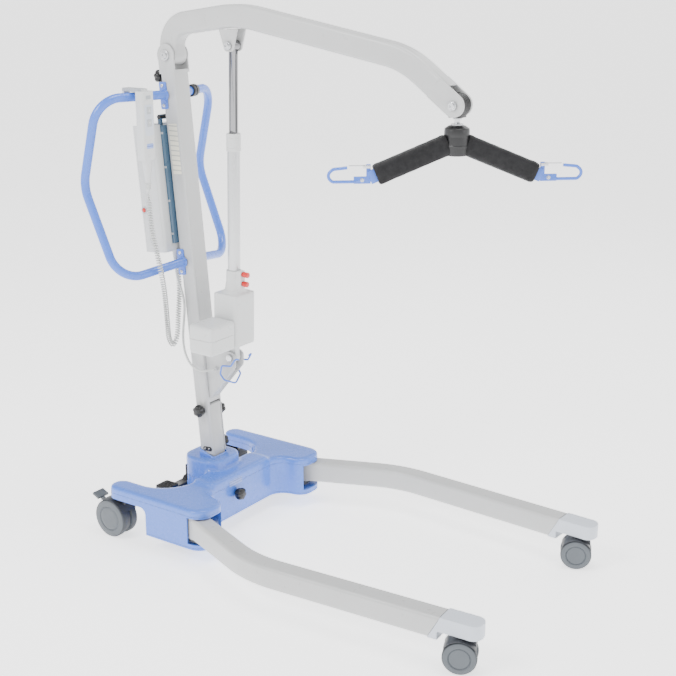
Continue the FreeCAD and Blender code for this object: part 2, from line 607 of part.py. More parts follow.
def controls():
    """Control box behind the mast, its lift-off battery, stop button, handset and their cords."""
    half_depth = size("mast_depth") / 2
    middle = -half_depth - 8 - size("box_depth") / 2
    case = box("box_depth", "box_width", "box_height", mast_place(middle, 0, size("box_low")))
    case = soften(case, 8, lambda e: e.Length > 300)
    bay_x = -half_depth - 1 - size("battery_depth") / 2
    bay = box("battery_depth + 2", "battery_width + 1", "box_height", mast_place(bay_x, 0, size("box_low") + 19))
    button_at = mast_place(middle - 22, -size("box_width") / 2, 648)
    socket = rod(5.4, 10, button_at.multiply(place(y=-1)), Y_AXIS)
    relief = cone(4.5, 8, 34, place(-456, -27, 690))
    plug = rod(10, 14, place(-469, -10, 711))
    piece(fuse(cut(case, bay, socket), relief, plug), "control_box")
    pack = box("battery_depth", "battery_width", "box_height - 22", mast_place(bay_x, 0, size("box_low") + 19.5))
    pack = soften(pack, 4, lambda e: e.Length > 250)
    top = size("box_low") + size("box_height") - 3
    grip = box(10, 60, 9, mast_place(bay_x, 0, top + 16))
    legs = [box(10, 8, 22, mast_place(bay_x, side * 26, top - 2)) for side in (-1, 1)]
    piece(fuse(pack, grip, *legs), "battery")
    piece(rod(5.2, 9, button_at.multiply(place(y=-4)), Y_AXIS), "emergency_stop")

    handset = place(-456, -115, 960)
    body = box(26, 42, 164, handset)
    body = soften(body, 7, lambda e: e.BoundBox.ZLength > 150)
    taper = cone(8, 13, 40, place(-456, -115, 922))
    boot = cone(4.5, 8, 42, place(-456, -115, 882))
    hook = box(64, 20, 8, place(-486, -115, 1121.5))
    back = box(6, 20, 33, place(-515, -115, 1096))
    faces = [box(6, 15, 18, place(-444.5, -115, level)) for level in (1040, 1070)]
    piece(cut(fuse(body, taper, boot, hook, back), *faces), "handset")
    for label, level in (("up_button", 1070), ("down_button", 1040)):
        cap = box(4.4, 14, 17, place(-442.9, -115, level + 0.5))
        piece(soften(cap, 1, lambda e: e.BoundBox.XMin > -442), label)

    coil = [V(-456, -115, 882), V(-455, -116, 840), V(-447, -119, 788), V(-433, -120, 738), V(-421, -118, 684),
            V(-422, -108, 628), V(-428, -98, 576), V(-434, -89, 530), V(-440, -80, 500), V(-439, -70, 482),
            V(-440, -56, 484), V(-440, -46, 510), V(-443, -40, 546), V(-449, -26, 592), V(-456, -16, 638),
            V(-465, -11, 684), V(-469, -10, 711)]
    cable = [V(-456, -27, 690), V(-454, -30, 668), V(-441, -34, 640), V(-428, -35, 612), V(-424, -34, 580),
             V(-428, -33, 548), V(-433, -33, 515), V(-432, -36, 481), V(-421, -40, 448), V(-400, -41, 423),
             V(-370, -38, 414), V(-347, -34, 421), V(-334, -30, 425)]
    for name, route, radius in (("handset_cord", coil, "coil_radius"), ("actuator_cable", cable, "cable_radius")):
        radii = cord_radii(route)
        print(name, "bend radii", [round(r, 1) for r in radii[1:-1]])
        print(name, "length", round(rounded_wire(route, radii).Length, 1))
        piece(solid(bent_rod(route, radii, size(radius))), name)


mast()
tail_bracket()
parking_hook()
handle()
controls()


# ---------------------------------------------------------------- boom and actuator

def boom():
    """Hollow boom, round at the mast pivot, with a clevis underneath and a fork at the tip."""
    pivot = mast_place(0, 0, size("mast_pivot")).Base
    frame = FreeCAD.Placement(FreeCAD.Matrix(0, -1, 0, pivot.x, 0, 0, -1, 0, 1, 0, 0, pivot.z, 0, 0, 0, 1))
    tube = bent_tube(["boom_rise", "boom_root_run", "boom_main_run", "boom_nose_run"],
                     [("boom_root_turn", "boom_root_radius", -1), ("boom_crest_turn", "boom_crest_radius", -1),
                      ("boom_nose_turn", "boom_nose_radius", -1)],
                     "boom_height", "boom_width", "boom_corner", "boom_wall", frame)
    across = size("boom_width")
    root = rod("boom_height / 2", "boom_width", place(pivot.x, -across / 2, pivot.z), Y_AXIS)
    bore = rod("8 + fit_gap", 60, place(pivot.x, -30, pivot.z), Y_AXIS)
    nose = size("boom_root_turn") - 90 + size("boom_crest_turn") + size("boom_nose_turn")
    tip = place(size("tip_x"), 0, size("tip_z"), Y_AXIS, nose)
    plates = []
    for side in (-1, 1):
        at = tip.multiply(place(y=side * (across / 2 - 3)))
        plates.append(rod("tip_radius", 6, at.multiply(place(y=-3)), Y_AXIS))
        plates.append(box(62, 6, "2 * tip_radius", at.multiply(place(-31, 0, -size("tip_radius")))))
    tip_bore = rod("tip_pin_radius", 60, place(size("tip_x"), -30, size("tip_z")), Y_AXIS)
    piece(cut(fuse(tube, root, *plates), bore, tip_bore), "boom_tube")

    pin_x, pin_z = size("clevis_x"), size("clevis_z")
    cheeks = []
    for side in (-1, 1):
        y = size("clevis_gap") / 2 if side > 0 else -size("clevis_gap") / 2 - 5
        outline = [V(pin_x - 29, y, 1267.5), V(pin_x - 12, y, pin_z - 14), V(pin_x + 12, y, pin_z - 14),
                   V(pin_x + 27, y, 1270)]
        cheeks.append(extruded(outline, [1, 11, 11, 1], 5, Y_AXIS))
    clevis = cheeks[0].fuse(cheeks[1])
    clevis = clevis.cut(Part.makeCylinder(size("clevis_pin_radius"), 60, V(pin_x, -30, pin_z), Y_AXIS))
    clevis = clevis.cut(tube.Shape)
    piece(solid(clevis), "rod_clevis")

    bolts = []
    for x, z, radius, reach in ((pin_x, pin_z, "clevis_pin_radius", 24), (size("tip_x"), size("tip_z"),
                                                                        "tip_pin_radius", 26)):
        at = place(x, -reach, z)
        heads = [rod(10, 4, at.multiply(place(y=shift)), Y_AXIS) for shift in (0, 2 * reach - 4)]
        bolts.append(fuse(rod(radius, 2 * reach, at, Y_AXIS), *heads))
    piece(group(*bolts), "boom_bolts")


def actuator_place(down):
    """A place on the actuator's axis, measured down from the clevis pin, with +Z up the axis."""
    top = place(size("clevis_x"), 0, size("clevis_z"), Y_AXIS, size("actuator_lean"))
    return top.multiply(place(z=-down))


def actuator():
    """Chrome rod in a tube, a gearbox housing with a motor beside it, and the tail lug."""
    reach = 420
    rod_bar = rod("rod_radius", reach - 9, actuator_place(reach))
    eye = rod(13, "clevis_gap - 2", place(size("clevis_x"), -size("clevis_gap") / 2 + 1, size("clevis_z")), Y_AXIS)
    bore = rod("clevis_pin_radius + fit_gap", 40, place(size("clevis_x"), -20, size("clevis_z")), Y_AXIS)
    piece(cut(fuse(rod_bar, eye), bore), "actuator_rod")

    tube_top = size("collar_top") + 8
    tube = cut(rod("tube_radius", "tube_end - collar_top - 8", actuator_place(size("tube_end"))),
               rod("rod_radius + 1", "tube_end - collar_top", actuator_place(size("tube_end") - 12)))
    piece(tube, "actuator_tube")
    collar_low = size("collar_top") + size("collar_length")
    collar = cut(rod("tube_radius + 2.5", "collar_length", actuator_place(collar_low)),
                 rod("rod_radius + 0.4", "collar_length + 2", actuator_place(collar_low + 1)),
                 rod("tube_radius", "collar_length - 8", actuator_place(collar_low)))
    piece(collar, "tube_collar")

    low, top = size("housing_low"), size("housing_top")
    case = box("housing_depth", "housing_width", "housing_low - housing_top", actuator_place(low))
    case = soften(case, 9, lambda e: e.Length > 100)
    neck = cone("tube_radius + 9", "tube_radius + 3", "housing_top - tube_end + 24", actuator_place(top))
    seat = rod("tube_radius", 60, actuator_place(size("tube_end")))
    lug = rod("tail_radius", "tail_width", actuator_place(size("tail_drop")).multiply(
        place(y=-size("tail_width") / 2)), Y_AXIS)
    shank = box(24, "tail_width", 40, actuator_place(size("tail_drop")))
    sockets = [rod(5.3, 40, actuator_place(down).multiply(place(10)), X_AXIS) for down in (552, 576)]
    block = box(26, 22, 62, actuator_place(605).multiply(place(16)))
    block = soften(block, 5, lambda e: e.BoundBox.ZLength > 55)
    piece(cut(fuse(case, neck, lug, shank, block), seat, *sockets), "gearbox_housing")

    motor = box("housing_depth", 92, 74, actuator_place(low).multiply(place(0, -size("housing_width") / 2 - 46.3)))
    motor = soften(motor, 7, lambda e: e.Length > 60)
    piece(motor, "motor_cover")

    for label, down, length in (("lowering_knob", 552, 22), ("release_knob", 576, 20)):
        at = actuator_place(down).multiply(place(27.5))
        head = rod(7, length - 8, at.multiply(place(4)), X_AXIS)
        head = soften(head, 1.5, lambda e: e.Length > 40)
        piece(fuse(head, rod(5.2, 8, at.multiply(place(-3)), X_AXIS)), label)


boom()
actuator()


# ---------------------------------------------------------------- spreader

def spreader_place(side=1, out=0, up=0, axis=Z_AXIS, angle=0):
    """A place on the spreader bar: distance out along one arm and height above its root."""
    turn = size("spreader_turn") + (0 if side > 0 else 180)
    middle = size("hub_low") + size("hub_height") / 2
    return place(size("tip_x"), 0, middle, Z_AXIS, turn).multiply(place(out, 0, up, axis, angle))


def spreader():
    """Hanger block, swivel stem, cast hub with two sloping arms, padded sleeves and sling hooks."""
    tip_x, tip_z = size("tip_x"), size("tip_z")
    block = rod(24, 29, place(tip_x, -14.5, tip_z), Y_AXIS)
    foot = box(28, 29, 24, place(tip_x, 0, tip_z - 26))
    bore = rod("tip_pin_radius + fit_gap", 40, place(tip_x, -20, tip_z), Y_AXIS)
    stem_hole = rod("stem_pin_radius", 24, place(tip_x, 0, tip_z - 30))
    piece(cut(fuse(block, foot), bore, stem_hole), "hanger_block")
    hub_top = size("hub_low") + size("hub_height")
    stem = rod("stem_pin_radius", tip_z - 6.2 - (hub_top - 40), place(tip_x, 0, hub_top - 40))
    washer = rod(10, 3, place(tip_x, 0, tip_z - 29.5))
    piece(fuse(stem, washer), "swivel_stem")

    hub = cone("hub_radius - 3", "hub_radius", 20, spreader_place(up=-size("hub_height") / 2))
    upper = rod("hub_radius", "hub_height - 26", spreader_place(up=-size("hub_height") / 2 + 20))
    crown = cone("hub_radius", 18, 6, spreader_place(up=size("hub_height") / 2 - 6))
    well = rod("stem_pin_radius + fit_gap", 50, place(tip_x, 0, hub_top - 41))
    arms, sleeves = [], []
    for side in (-1, 1):
        slope = spreader_place(side, 0, 0, Y_AXIS, size("arm_slope"))
        length = size("arm_length")
        core = box(length + 8, "arm_core", 26, slope.multiply(place(length / 2 + 4, 0, -13)))
        arms.append(core)
        sleeve = box(length - 22, "arm_depth", "arm_height", slope.multiply(place(length / 2 + 11, 0, -22)))
        sleeve = soften(sleeve, 14, lambda e: e.Length > 100)
        sleeves.append(cut(sleeve, box(length + 20, "arm_core", 26, slope.multiply(place(length / 2 + 4, 0, -13))),
                           rod("hub_radius", 90, spreader_place(up=-45))))
    piece(cut(fuse(hub, upper, crown, *arms), well), "spreader_bar")
    piece(group(*sleeves), "spreader_pads")

    for side, label in ((-1, "right"), (1, "left")):
        drop = -(size("arm_length") + 8) * math.sin(math.radians(size("arm_slope")))
        reach = (size("arm_length") + 8) * math.cos(math.radians(size("arm_slope")))
        root = spreader_place(side, reach + 5, drop)
        plate = Part.makeBox(36, 6, 15, V(0, -3, -15))
        tab = Part.makeBox(9, 6, 26, V(0, -3, 0))
        wire = bent_rod([V(33, 0, -11), V(82, 0, -11), V(96, 0, 3), V(80, 0, 16), V(50, 0, 19)],
                        [0, 9, 12, 9, 0], size("hook_wire_radius"))
        hook = plate.fuse([tab, wire]).cut(Part.makeCylinder(1.5, 10, V(4.5, -5, 21.5), Y_AXIS))
        piece(solid(hook.removeSplitter(), root), label + "_hook")
        gate = Part.makeBox(36, 7, 1.8, V(10.5, -3.5, 22.3))
        cheeks = [Part.makeBox(16, 1.6, 6.4, V(0, y, 18)) for y in (-5.1, 3.5)]
        pin = Part.makeCylinder(1.45, 10, V(4.5, -5, 21.5), Y_AXIS)
        latch = gate.fuse(cheeks + [pin])
        piece(solid(latch.removeSplitter(), root), label + "_latch")


spreader()


# ---------------------------------------------------------------- checks and files

doc.recompute()
for obj in doc.Objects:
    if "Invalid" in obj.State or "Error" in obj.State:
        raise RuntimeError("%s (%s) failed: %s" % (obj.Name, obj.Label, obj.State))
names = [obj.Label for obj in pieces]
if len(set(names)) != len(names) or len(names) > 60:
    raise RuntimeError("node names repeat, or there are too many: %d" % len(names))
for obj in pieces:
    if obj.Shape.isNull() or not obj.Shape.isValid() or not obj.Shape.Solids:
        raise RuntimeError("%s has no valid solid" % obj.Label)

os.makedirs("parts", exist_ok=True)
for obj in pieces:
    obj.Shape.exportStep("parts/%s.step" % obj.Label)

whole = FreeCAD.BoundBox()
for obj in pieces:
    whole.add(obj.Shape.BoundBox)
print(len(pieces), "sub-parts, box", [round(v, 2) for v in (
    whole.XMin, whole.XMax, whole.YMin, whole.YMax, whole.ZMin, whole.ZMax)])
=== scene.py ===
import json
import math

import bmesh
import bpy
from mathutils import Matrix, Quaternion, Vector


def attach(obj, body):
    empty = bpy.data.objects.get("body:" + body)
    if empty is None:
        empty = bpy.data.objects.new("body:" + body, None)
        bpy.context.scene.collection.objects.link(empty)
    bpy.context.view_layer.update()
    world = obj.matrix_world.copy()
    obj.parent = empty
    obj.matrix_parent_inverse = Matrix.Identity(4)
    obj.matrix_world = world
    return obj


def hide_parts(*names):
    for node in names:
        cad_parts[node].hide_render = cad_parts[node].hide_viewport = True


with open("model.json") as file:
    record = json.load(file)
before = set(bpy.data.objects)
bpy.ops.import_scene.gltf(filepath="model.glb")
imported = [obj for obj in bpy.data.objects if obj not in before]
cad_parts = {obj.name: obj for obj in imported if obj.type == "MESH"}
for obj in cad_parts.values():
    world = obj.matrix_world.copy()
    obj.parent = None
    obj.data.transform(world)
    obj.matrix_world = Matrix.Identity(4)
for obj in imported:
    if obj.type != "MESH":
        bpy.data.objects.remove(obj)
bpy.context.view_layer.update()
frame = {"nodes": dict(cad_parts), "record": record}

MM = 0.001
X, Y, Z = Vector((1, 0, 0)), Vector((0, 1, 0)), Vector((0, 0, 1))
RIGHT, LEFT = -1, 1
SIDES = {"right": RIGHT, "left": LEFT}
BODY_OF = {node: body for body, nodes in frame["record"]["behaviour"]["bodies"].items() for node in nodes}
SLOT_OF = {part["node"]: part["material_slot"] for part in frame["record"]["subparts"]}


def at(x, y, z):
    """A point of the lift, given in millimetres."""
    return Vector((x, y, z)) * MM


# The mast leans back; its own axes carry everything that is fixed to it.
MAST_LEAN = math.radians(5.2)
MAST_FOOT = at(-371, 0, 185)
MAST_UP = Vector((-math.sin(MAST_LEAN), 0, math.cos(MAST_LEAN)))
MAST_FRONT = Vector((math.cos(MAST_LEAN), 0, math.sin(MAST_LEAN)))


def on_mast(x, y, along):
    return MAST_FOOT + (MAST_FRONT * x + Y * y + MAST_UP * along) * MM


# The actuator hangs from the boom's clevis pin.
ACTUATOR_LEAN = math.radians(1.486)
CLEVIS = at(-272, 0, 1231)
ACTUATOR_DOWN = Vector((-math.sin(ACTUATOR_LEAN), 0, -math.cos(ACTUATOR_LEAN)))
ACTUATOR_FRONT = Vector((math.cos(ACTUATOR_LEAN), 0, -math.sin(ACTUATOR_LEAN)))


def on_actuator(x, y, down):
    return CLEVIS + (ACTUATOR_FRONT * x + Y * y + ACTUATOR_DOWN * down) * MM


# The spreader bar hangs under the boom's tip, turned from the boom's own line.
TIP = at(336, 0, 1129)
HUB_MIDDLE = at(336, 0, 1054.5)
SPREADER_TURN = math.radians(40)
ARM_SLOPE = math.radians(22.5)


# ---------------------------------------------------------------- camera

def camera():
    data = bpy.data.cameras.new("camera")
    data.sensor_width = 36
    data.lens = 66.16
    data.clip_start = 0.05
    data.clip_end = 100
    cam = bpy.data.objects.new("camera", data)
    cam.location = (1.6414, -2.3237, 1.4097)
    cam.rotation_euler = (math.radians(90 - 16.6621), 0, math.radians(34.7676))
    bpy.context.scene.collection.objects.link(cam)
    bpy.context.scene.camera = cam


camera()


# ---------------------------------------------------------------- node materials

def blank_material(name):
    material = bpy.data.materials.new(name)
    material.use_nodes = True
    tree = material.node_tree
    shader = tree.nodes["Principled BSDF"]
    place = tree.nodes.new("ShaderNodeTexCoord").outputs["Object"]
    return material, tree, shader, place


def noise(tree, place, scale, detail=3.0, stretch=(1, 1, 1)):
    """Fractal noise in the piece's own space, stretched along an axis where asked."""
    mapping = tree.nodes.new("ShaderNodeMapping")
    mapping.inputs["Scale"].default_value = stretch
    tree.links.new(place, mapping.inputs["Vector"])
    texture = tree.nodes.new("ShaderNodeTexNoise")
    texture.inputs["Scale"].default_value = scale
    texture.inputs["Detail"].default_value = detail
    tree.links.new(mapping.outputs["Vector"], texture.inputs["Vector"])
    return texture.outputs["Fac"]


def spread(tree, value, low, high, start=0.3, end=0.7):
    """Map a noise value onto a range."""
    node = tree.nodes.new("ShaderNodeMapRange")
    node.inputs["From Min"].default_value = start
    node.inputs["From Max"].default_value = end
    node.inputs["To Min"].default_value = low
    node.inputs["To Max"].default_value = high
    tree.links.new(value, node.inputs["Value"])
    return node.outputs["Result"]


def mixed(tree, factor, first, second):
    """Blend two colours by a factor."""
    node = tree.nodes.new("ShaderNodeMix")
    node.data_type = "RGBA"
    node.inputs["A"].default_value = (*first, 1)
    node.inputs["B"].default_value = (*second, 1)
    tree.links.new(factor, node.inputs["Factor"])
    return node.outputs["Result"]


def bumped(tree, height, distance, normal=None):
    node = tree.nodes.new("ShaderNodeBump")
    node.inputs["Strength"].default_value = 1.0
    node.inputs["Distance"].default_value = distance
    tree.links.new(height, node.inputs["Height"])
    if normal is not None:
        tree.links.new(normal, node.inputs["Normal"])
    return node.outputs["Normal"]


def groove(tree, place, axis, spot, width):
    """A moulding seam: 0 in the groove and 1 away from it, at a place along one axis."""
    split = tree.nodes.new("ShaderNodeSeparateXYZ")
    tree.links.new(place, split.inputs["Vector"])
    away = tree.nodes.new("ShaderNodeMath")
    away.operation = "SUBTRACT"
    away.inputs[1].default_value = spot
    tree.links.new(split.outputs[axis], away.inputs[0])
    size = tree.nodes.new("ShaderNodeMath")
    size.operation = "ABSOLUTE"
    tree.links.new(away.outputs[0], size.inputs[0])
    return spread(tree, size.outputs[0], 0, 1, 0, width)


def surface(name, colour, roughness, grain=900, grain_depth=0.00004, tone=0.05, gloss_spread=0.07,
            stretch=(1, 1, 1), metallic=0.0, coat=0.0, wave=0.0, seams=()):
    """A moulded, painted or metal surface: cloudy tone, uneven gloss, fine grain, long wave and seams."""
    material, tree, shader, place = blank_material(name)
    dark = [c * (1 - tone) for c in colour]
    light = [min(1.0, c * (1 + tone)) for c in colour]
    cloud = spread(tree, noise(tree, place, 14, 4), 0, 1)
    tree.links.new(mixed(tree, cloud, dark, light), shader.inputs["Base Color"])
    smear = noise(tree, place, 55, 5, stretch)
    rough = spread(tree, smear, max(0.02, roughness - gloss_spread), roughness + gloss_spread)
    tree.links.new(rough, shader.inputs["Roughness"])
    normal = bumped(tree, noise(tree, place, grain, 2, stretch), grain_depth)
    if wave:
        normal = bumped(tree, noise(tree, place, 30, 1), wave, normal)
    for axis, spot, width in seams:
        normal = bumped(tree, groove(tree, place, axis, spot, width), 0.0012, normal)
    tree.links.new(normal, shader.inputs["Normal"])
    shader.inputs["Metallic"].default_value = metallic
    shader.inputs["Coat Weight"].default_value = coat
    shader.inputs["Coat Roughness"].default_value = 0.08
    return material


def label_material(name, ground, ink, bands):
    """A plain printed plate: quiet bands of ink across a plain ground, with no lettering."""
    material, tree, shader, place = blank_material(name)
    wave = tree.nodes.new("ShaderNodeTexWave")
    wave.bands_direction = "Z"
    wave.inputs["Scale"].default_value = bands
    wave.inputs["Distortion"].default_value = 0.0
    tree.links.new(place, wave.inputs["Vector"])
    band = spread(tree, wave.outputs["Fac"], 0, 1, 0.86, 0.9)
    tree.links.new(mixed(tree, band, ground, ink), shader.inputs["Base Color"])
    tree.links.new(bumped(tree, noise(tree, place, 700, 2), 0.00002), shader.inputs["Normal"])
    shader.inputs["Roughness"].default_value = 0.38
    return material


def padding_material(name, colour):
    """Soft grip sleeve: a tight knit over slow wrinkles."""
    material, tree, shader, place = blank_material(name)
    cells = tree.nodes.new("ShaderNodeTexVoronoi")
    cells.inputs["Scale"].default_value = 750
    tree.links.new(place, cells.inputs["Vector"])
    dust = spread(tree, noise(tree, place, 25, 6), 0, 1, 0.4, 0.75)
    tree.links.new(mixed(tree, dust, colour, [c * 1.5 for c in colour]), shader.inputs["Base Color"])
    normal = bumped(tree, cells.outputs["Distance"], 0.00025)
    normal = bumped(tree, noise(tree, place, 60, 4, (1, 1, 0.5)), 0.0011, normal)
    tree.links.new(normal, shader.inputs["Normal"])
    tree.links.new(spread(tree, noise(tree, place, 90, 3), 0.55, 0.78), shader.inputs["Roughness"])
    shader.inputs["Sheen Weight"].default_value = 0.06
    shader.inputs["Specular IOR Level"].default_value = 0.3
    return material


BLUE = (0.070, 0.185, 0.680)
GREY = (0.470, 0.475, 0.475)
M = {
    "blue_cover": surface("blue_cover", BLUE, 0.27, 900, 0.00002, 0.02, 0.04, coat=0.35,
                          seams=(("Z", 0.126, 0.0010), ("Z", 0.0435, 0.0008))),
    "blue_paint": surface("blue_paint", (0.060, 0.165, 0.650), 0.30, 1300, 0.00002, 0.04, coat=0.3),
    "grey_paint": surface("grey_paint", GREY, 0.34, 1500, 0.00004, 0.02, coat=0.15),
    "tube_finish": surface("tube_finish", (0.60, 0.61, 0.62), 0.30, 1200, 0.00002, 0.03, 0.04,
                           (1, 1, 0.1), 0.55),
    "frame_paint": surface("frame_paint", (0.08, 0.085, 0.095), 0.45, 900, 0.00006),
    "cap_plastic": surface("cap_plastic", (0.56, 0.60, 0.67), 0.38, 1100, 0.00004, 0.02),
    "white_plastic": surface("white_plastic", (0.60, 0.61, 0.61), 0.34, 1500, 0.00004, 0.02, coat=0.1),
    "motor_plastic": surface("motor_plastic", (0.60, 0.61, 0.61), 0.32, 1500, 0.00004, 0.02, coat=0.1,
                             seams=(("Z", 0.5345, 0.0011),)),
    "black_plastic": surface("black_plastic", (0.007, 0.007, 0.008), 0.34, 1500, 0.00006, 0.15),
    "dark_plastic": surface("dark_plastic", (0.040, 0.043, 0.050), 0.40, 1300, 0.00006, 0.12),
    "wheel_grey": surface("wheel_grey", (0.085, 0.098, 0.112), 0.42, 1100, 0.00005, 0.05),
    "tread": surface("tread", (0.050, 0.056, 0.064), 0.62, 700, 0.00012, 0.2),
    "slate_plastic": surface("slate_plastic", (0.050, 0.105, 0.170), 0.33, 1300, 0.00005, 0.06, coat=0.1),
    "red_plastic": surface("red_plastic", (0.62, 0.018, 0.015), 0.28, 1200, 0.00004, 0.05, coat=0.3),
    "key_grey": surface("key_grey", (0.44, 0.46, 0.48), 0.45, 1500, 0.00006, 0.04),
    "clip_grey": surface("clip_grey", (0.36, 0.38, 0.41), 0.40, 1300, 0.00005, 0.04),
    "cord_white": surface("cord_white", (0.52, 0.53, 0.52), 0.42, 900, 0.00005, 0.06),
    "chrome": surface("chrome", (0.25, 0.25, 0.26), 0.12, 500, 0.00001, 0.02, 0.03, (1, 1, 0.05), 1.0),
    "zinc_steel": surface("zinc_steel", (0.62, 0.63, 0.65), 0.27, 900, 0.00004, 0.10, 0.1, (1, 1, 6), 1.0),
    "pad_black": padding_material("pad_black", (0.006, 0.006, 0.007)),
    "mast_label": label_material("mast_label", (0.74, 0.72, 0.60), (0.42, 0.42, 0.38), 26),
    "small_label": label_material("small_label", (0.26, 0.36, 0.72), (0.04, 0.08, 0.40), 46),
    "lamp_green": surface("lamp_green", (0.05, 0.42, 0.10), 0.2, 900, 0.00002, 0.02, coat=0.5),
    "window": surface("window", (0.012, 0.014, 0.018), 0.12, 600, 0.00001, 0.05, coat=0.6),
}


# ---------------------------------------------------------------- mesh tools

def put(name, mesh, body, material, stands_for=(), sharp=32):
    """Link a finished mesh, give it its finish and let it ride on its body."""
    obj = bpy.data.objects.new(name, mesh)
    bpy.context.scene.collection.objects.link(obj)
    if not mesh.materials:
        mesh.materials.append(M[material])
    if sharp is not None:
        mesh.shade_smooth()
        mesh.set_sharp_from_angle(angle=math.radians(sharp))
    if stands_for:
        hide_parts(*stands_for)
    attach(obj, body)
    return obj


def mesh_from(build, name="mesh"):
    """A mesh made by a function that fills a bmesh, with its faces turned outwards."""
    mesh = bpy.data.meshes.new(name)
    bm = bmesh.new()
    build(bm)
    bmesh.ops.remove_doubles(bm, verts=bm.verts, dist=1e-6)
    bmesh.ops.recalc_face_normals(bm, faces=bm.faces)
    bm.to_mesh(mesh)
    bm.free()
    return mesh


def evaluated(mesh, *modifiers):
    """The mesh after a stack of modifiers, given as (type, {setting: value})."""
    holder = bpy.data.objects.new("holder", mesh)
    bpy.context.scene.collection.objects.link(holder)
    for kind, settings in modifiers:
        modifier = holder.modifiers.new(kind.lower(), kind)
        for key, value in settings.items():
            setattr(modifier, key, value)
    made = bpy.data.meshes.new_from_object(holder.evaluated_get(bpy.context.evaluated_depsgraph_get()))
    bpy.data.objects.remove(holder)
    return made


def carved(mesh, *tools):
    """Cut closed tool meshes out of a closed mesh."""
    objects = []
    for tool in tools:
        obj = bpy.data.objects.new("tool", tool)
        bpy.context.scene.collection.objects.link(obj)
        objects.append(obj)
    cuts = [("BOOLEAN", {"operation": "DIFFERENCE", "solver": "EXACT", "object": obj}) for obj in objects]
    made = evaluated(mesh, *cuts)
    for obj in objects:
        bpy.data.objects.remove(obj)
    return made


def node_mesh(node):
    """A welded copy of a CAD node, with flat areas made whole."""
    def build(bm):
        bm.from_mesh(frame["nodes"][node].data)
        bmesh.ops.remove_doubles(bm, verts=bm.verts, dist=1e-6)
        bmesh.ops.dissolve_limit(bm, angle_limit=math.radians(0.5), verts=bm.verts, edges=bm.edges)
    mesh = mesh_from(build, node)
    mesh.materials.clear()
    return mesh


def skin(node, edge=0.0, material=None, sharp=32):
    """A CAD node finished as it is, with its crisp edges broken by a small round."""
    mesh = node_mesh(node)
    if edge:
        mesh = evaluated(mesh, ("BEVEL", {"width": edge * MM, "segments": 2, "limit_method": "ANGLE",
                                          "angle_limit": math.radians(35), "harden_normals": False}))
    material = material or SLOT_OF[node]
    return put(node + "_skin", mesh, BODY_OF[node], material, (node,), sharp)


def melted(mesh, voxel, rounds):
    """A soft moulded form: its corners and joints are blended together."""
    return evaluated(mesh, ("REMESH", {"mode": "VOXEL", "voxel_size": voxel * MM}),
                     ("SMOOTH", {"factor": 0.5, "iterations": rounds}))


def moulding(node, voxel, rounds, material=None):
    mesh = melted(node_mesh(node), voxel, rounds)
    material = material or SLOT_OF[node]
    return put(node + "_moulding", mesh, BODY_OF[node], material, (node,), 50)


def rounded(corners, steps=7):
    """A closed outline from (x, y, radius) corners, each turned by an arc."""
    outline = []
    count = len(corners)
    for i, (x, y, radius) in enumerate(corners):
        here = Vector((x, y))
        come = (here - Vector(corners[i - 1][:2])).normalized()
        leave = (Vector(corners[(i + 1) % count][:2]) - here).normalized()
        turn = come.angle(leave)
        reach = radius * math.tan(turn / 2)
        side = 1 if come.x * leave.y - come.y * leave.x > 0 else -1
        centre = here - come * reach + Vector((-come.y, come.x)) * side * radius
        start = here - come * reach - centre
        for step in range(steps + 1):
            outline.append(centre + Matrix.Rotation(side * turn * step / steps, 2) @ start)
    return outline


def prism(bm, outline, low, high, place=Matrix.Identity(4)):
    """A closed slab with the given outline between two heights, in millimetres."""
    rings = [[bm.verts.new(place @ (Vector((p[0], p[1], level)) * MM)) for p in outline]
             for level in (low, high)]
    bm.faces.new(rings[0])
    bm.faces.new(rings[1])
    for i in range(len(outline)):
        j = (i + 1) % len(outline)
        bm.faces.new((rings[0][i], rings[0][j], rings[1][j], rings[1][i]))


def block(bm, low, high):
    """A plain box between two corners in millimetres."""
    outline = [(low[0], low[1]), (high[0], low[1]), (high[0], high[1]), (low[0], high[1])]
    prism(bm, outline, low[2], high[2])


def plate(name, centre, across, up, size, radius, thickness, body, material, edge=0.3):
    """A thin plate with round corners, lying across and up, raised along their cross product."""
    out = across.cross(up).normalized()
    place = Matrix((across, up, out)).transposed().to_4x4()
    place.translation = centre
    half_w, half_h = size[0] / 2, size[1] / 2
    corners = [(-half_w, -half_h, radius), (half_w, -half_h, radius), (half_w, half_h, radius),
               (-half_w, half_h, radius)]
    mesh = mesh_from(lambda bm: prism(bm, rounded(corners), -1.0, thickness, place), name)
    mesh = evaluated(mesh, ("BEVEL", {"width": edge * MM, "segments": 2, "limit_method": "ANGLE"}))
    return put(name, mesh, body, material)


def turned(bm, profile, origin, axis, segments=48):
    """A lathe-turned form. The profile is (radius, distance along the axis) in millimetres."""
    across = axis.orthogonal().normalized()
    other = axis.cross(across)
    rings = []
    for radius, along in profile:
        if radius < 1e-6:
            rings.append([bm.verts.new(origin + axis * along * MM)])
            continue
        ring = []
        for i in range(segments):
            angle = 2 * math.pi * i / segments
            ring.append(bm.verts.new(origin + (axis * along + (across * math.cos(angle)
                                                               + other * math.sin(angle)) * radius) * MM))
        rings.append(ring)
    for first, second in zip(rings, rings[1:]):
        for i in range(segments):
            j = (i + 1) % segments
            corners = [first[i % len(first)], first[j % len(first)], second[j % len(second)],
                       second[i % len(second)]]
            unique = [v for k, v in enumerate(corners) if v not in corners[:k]]
            bm.faces.new(unique)


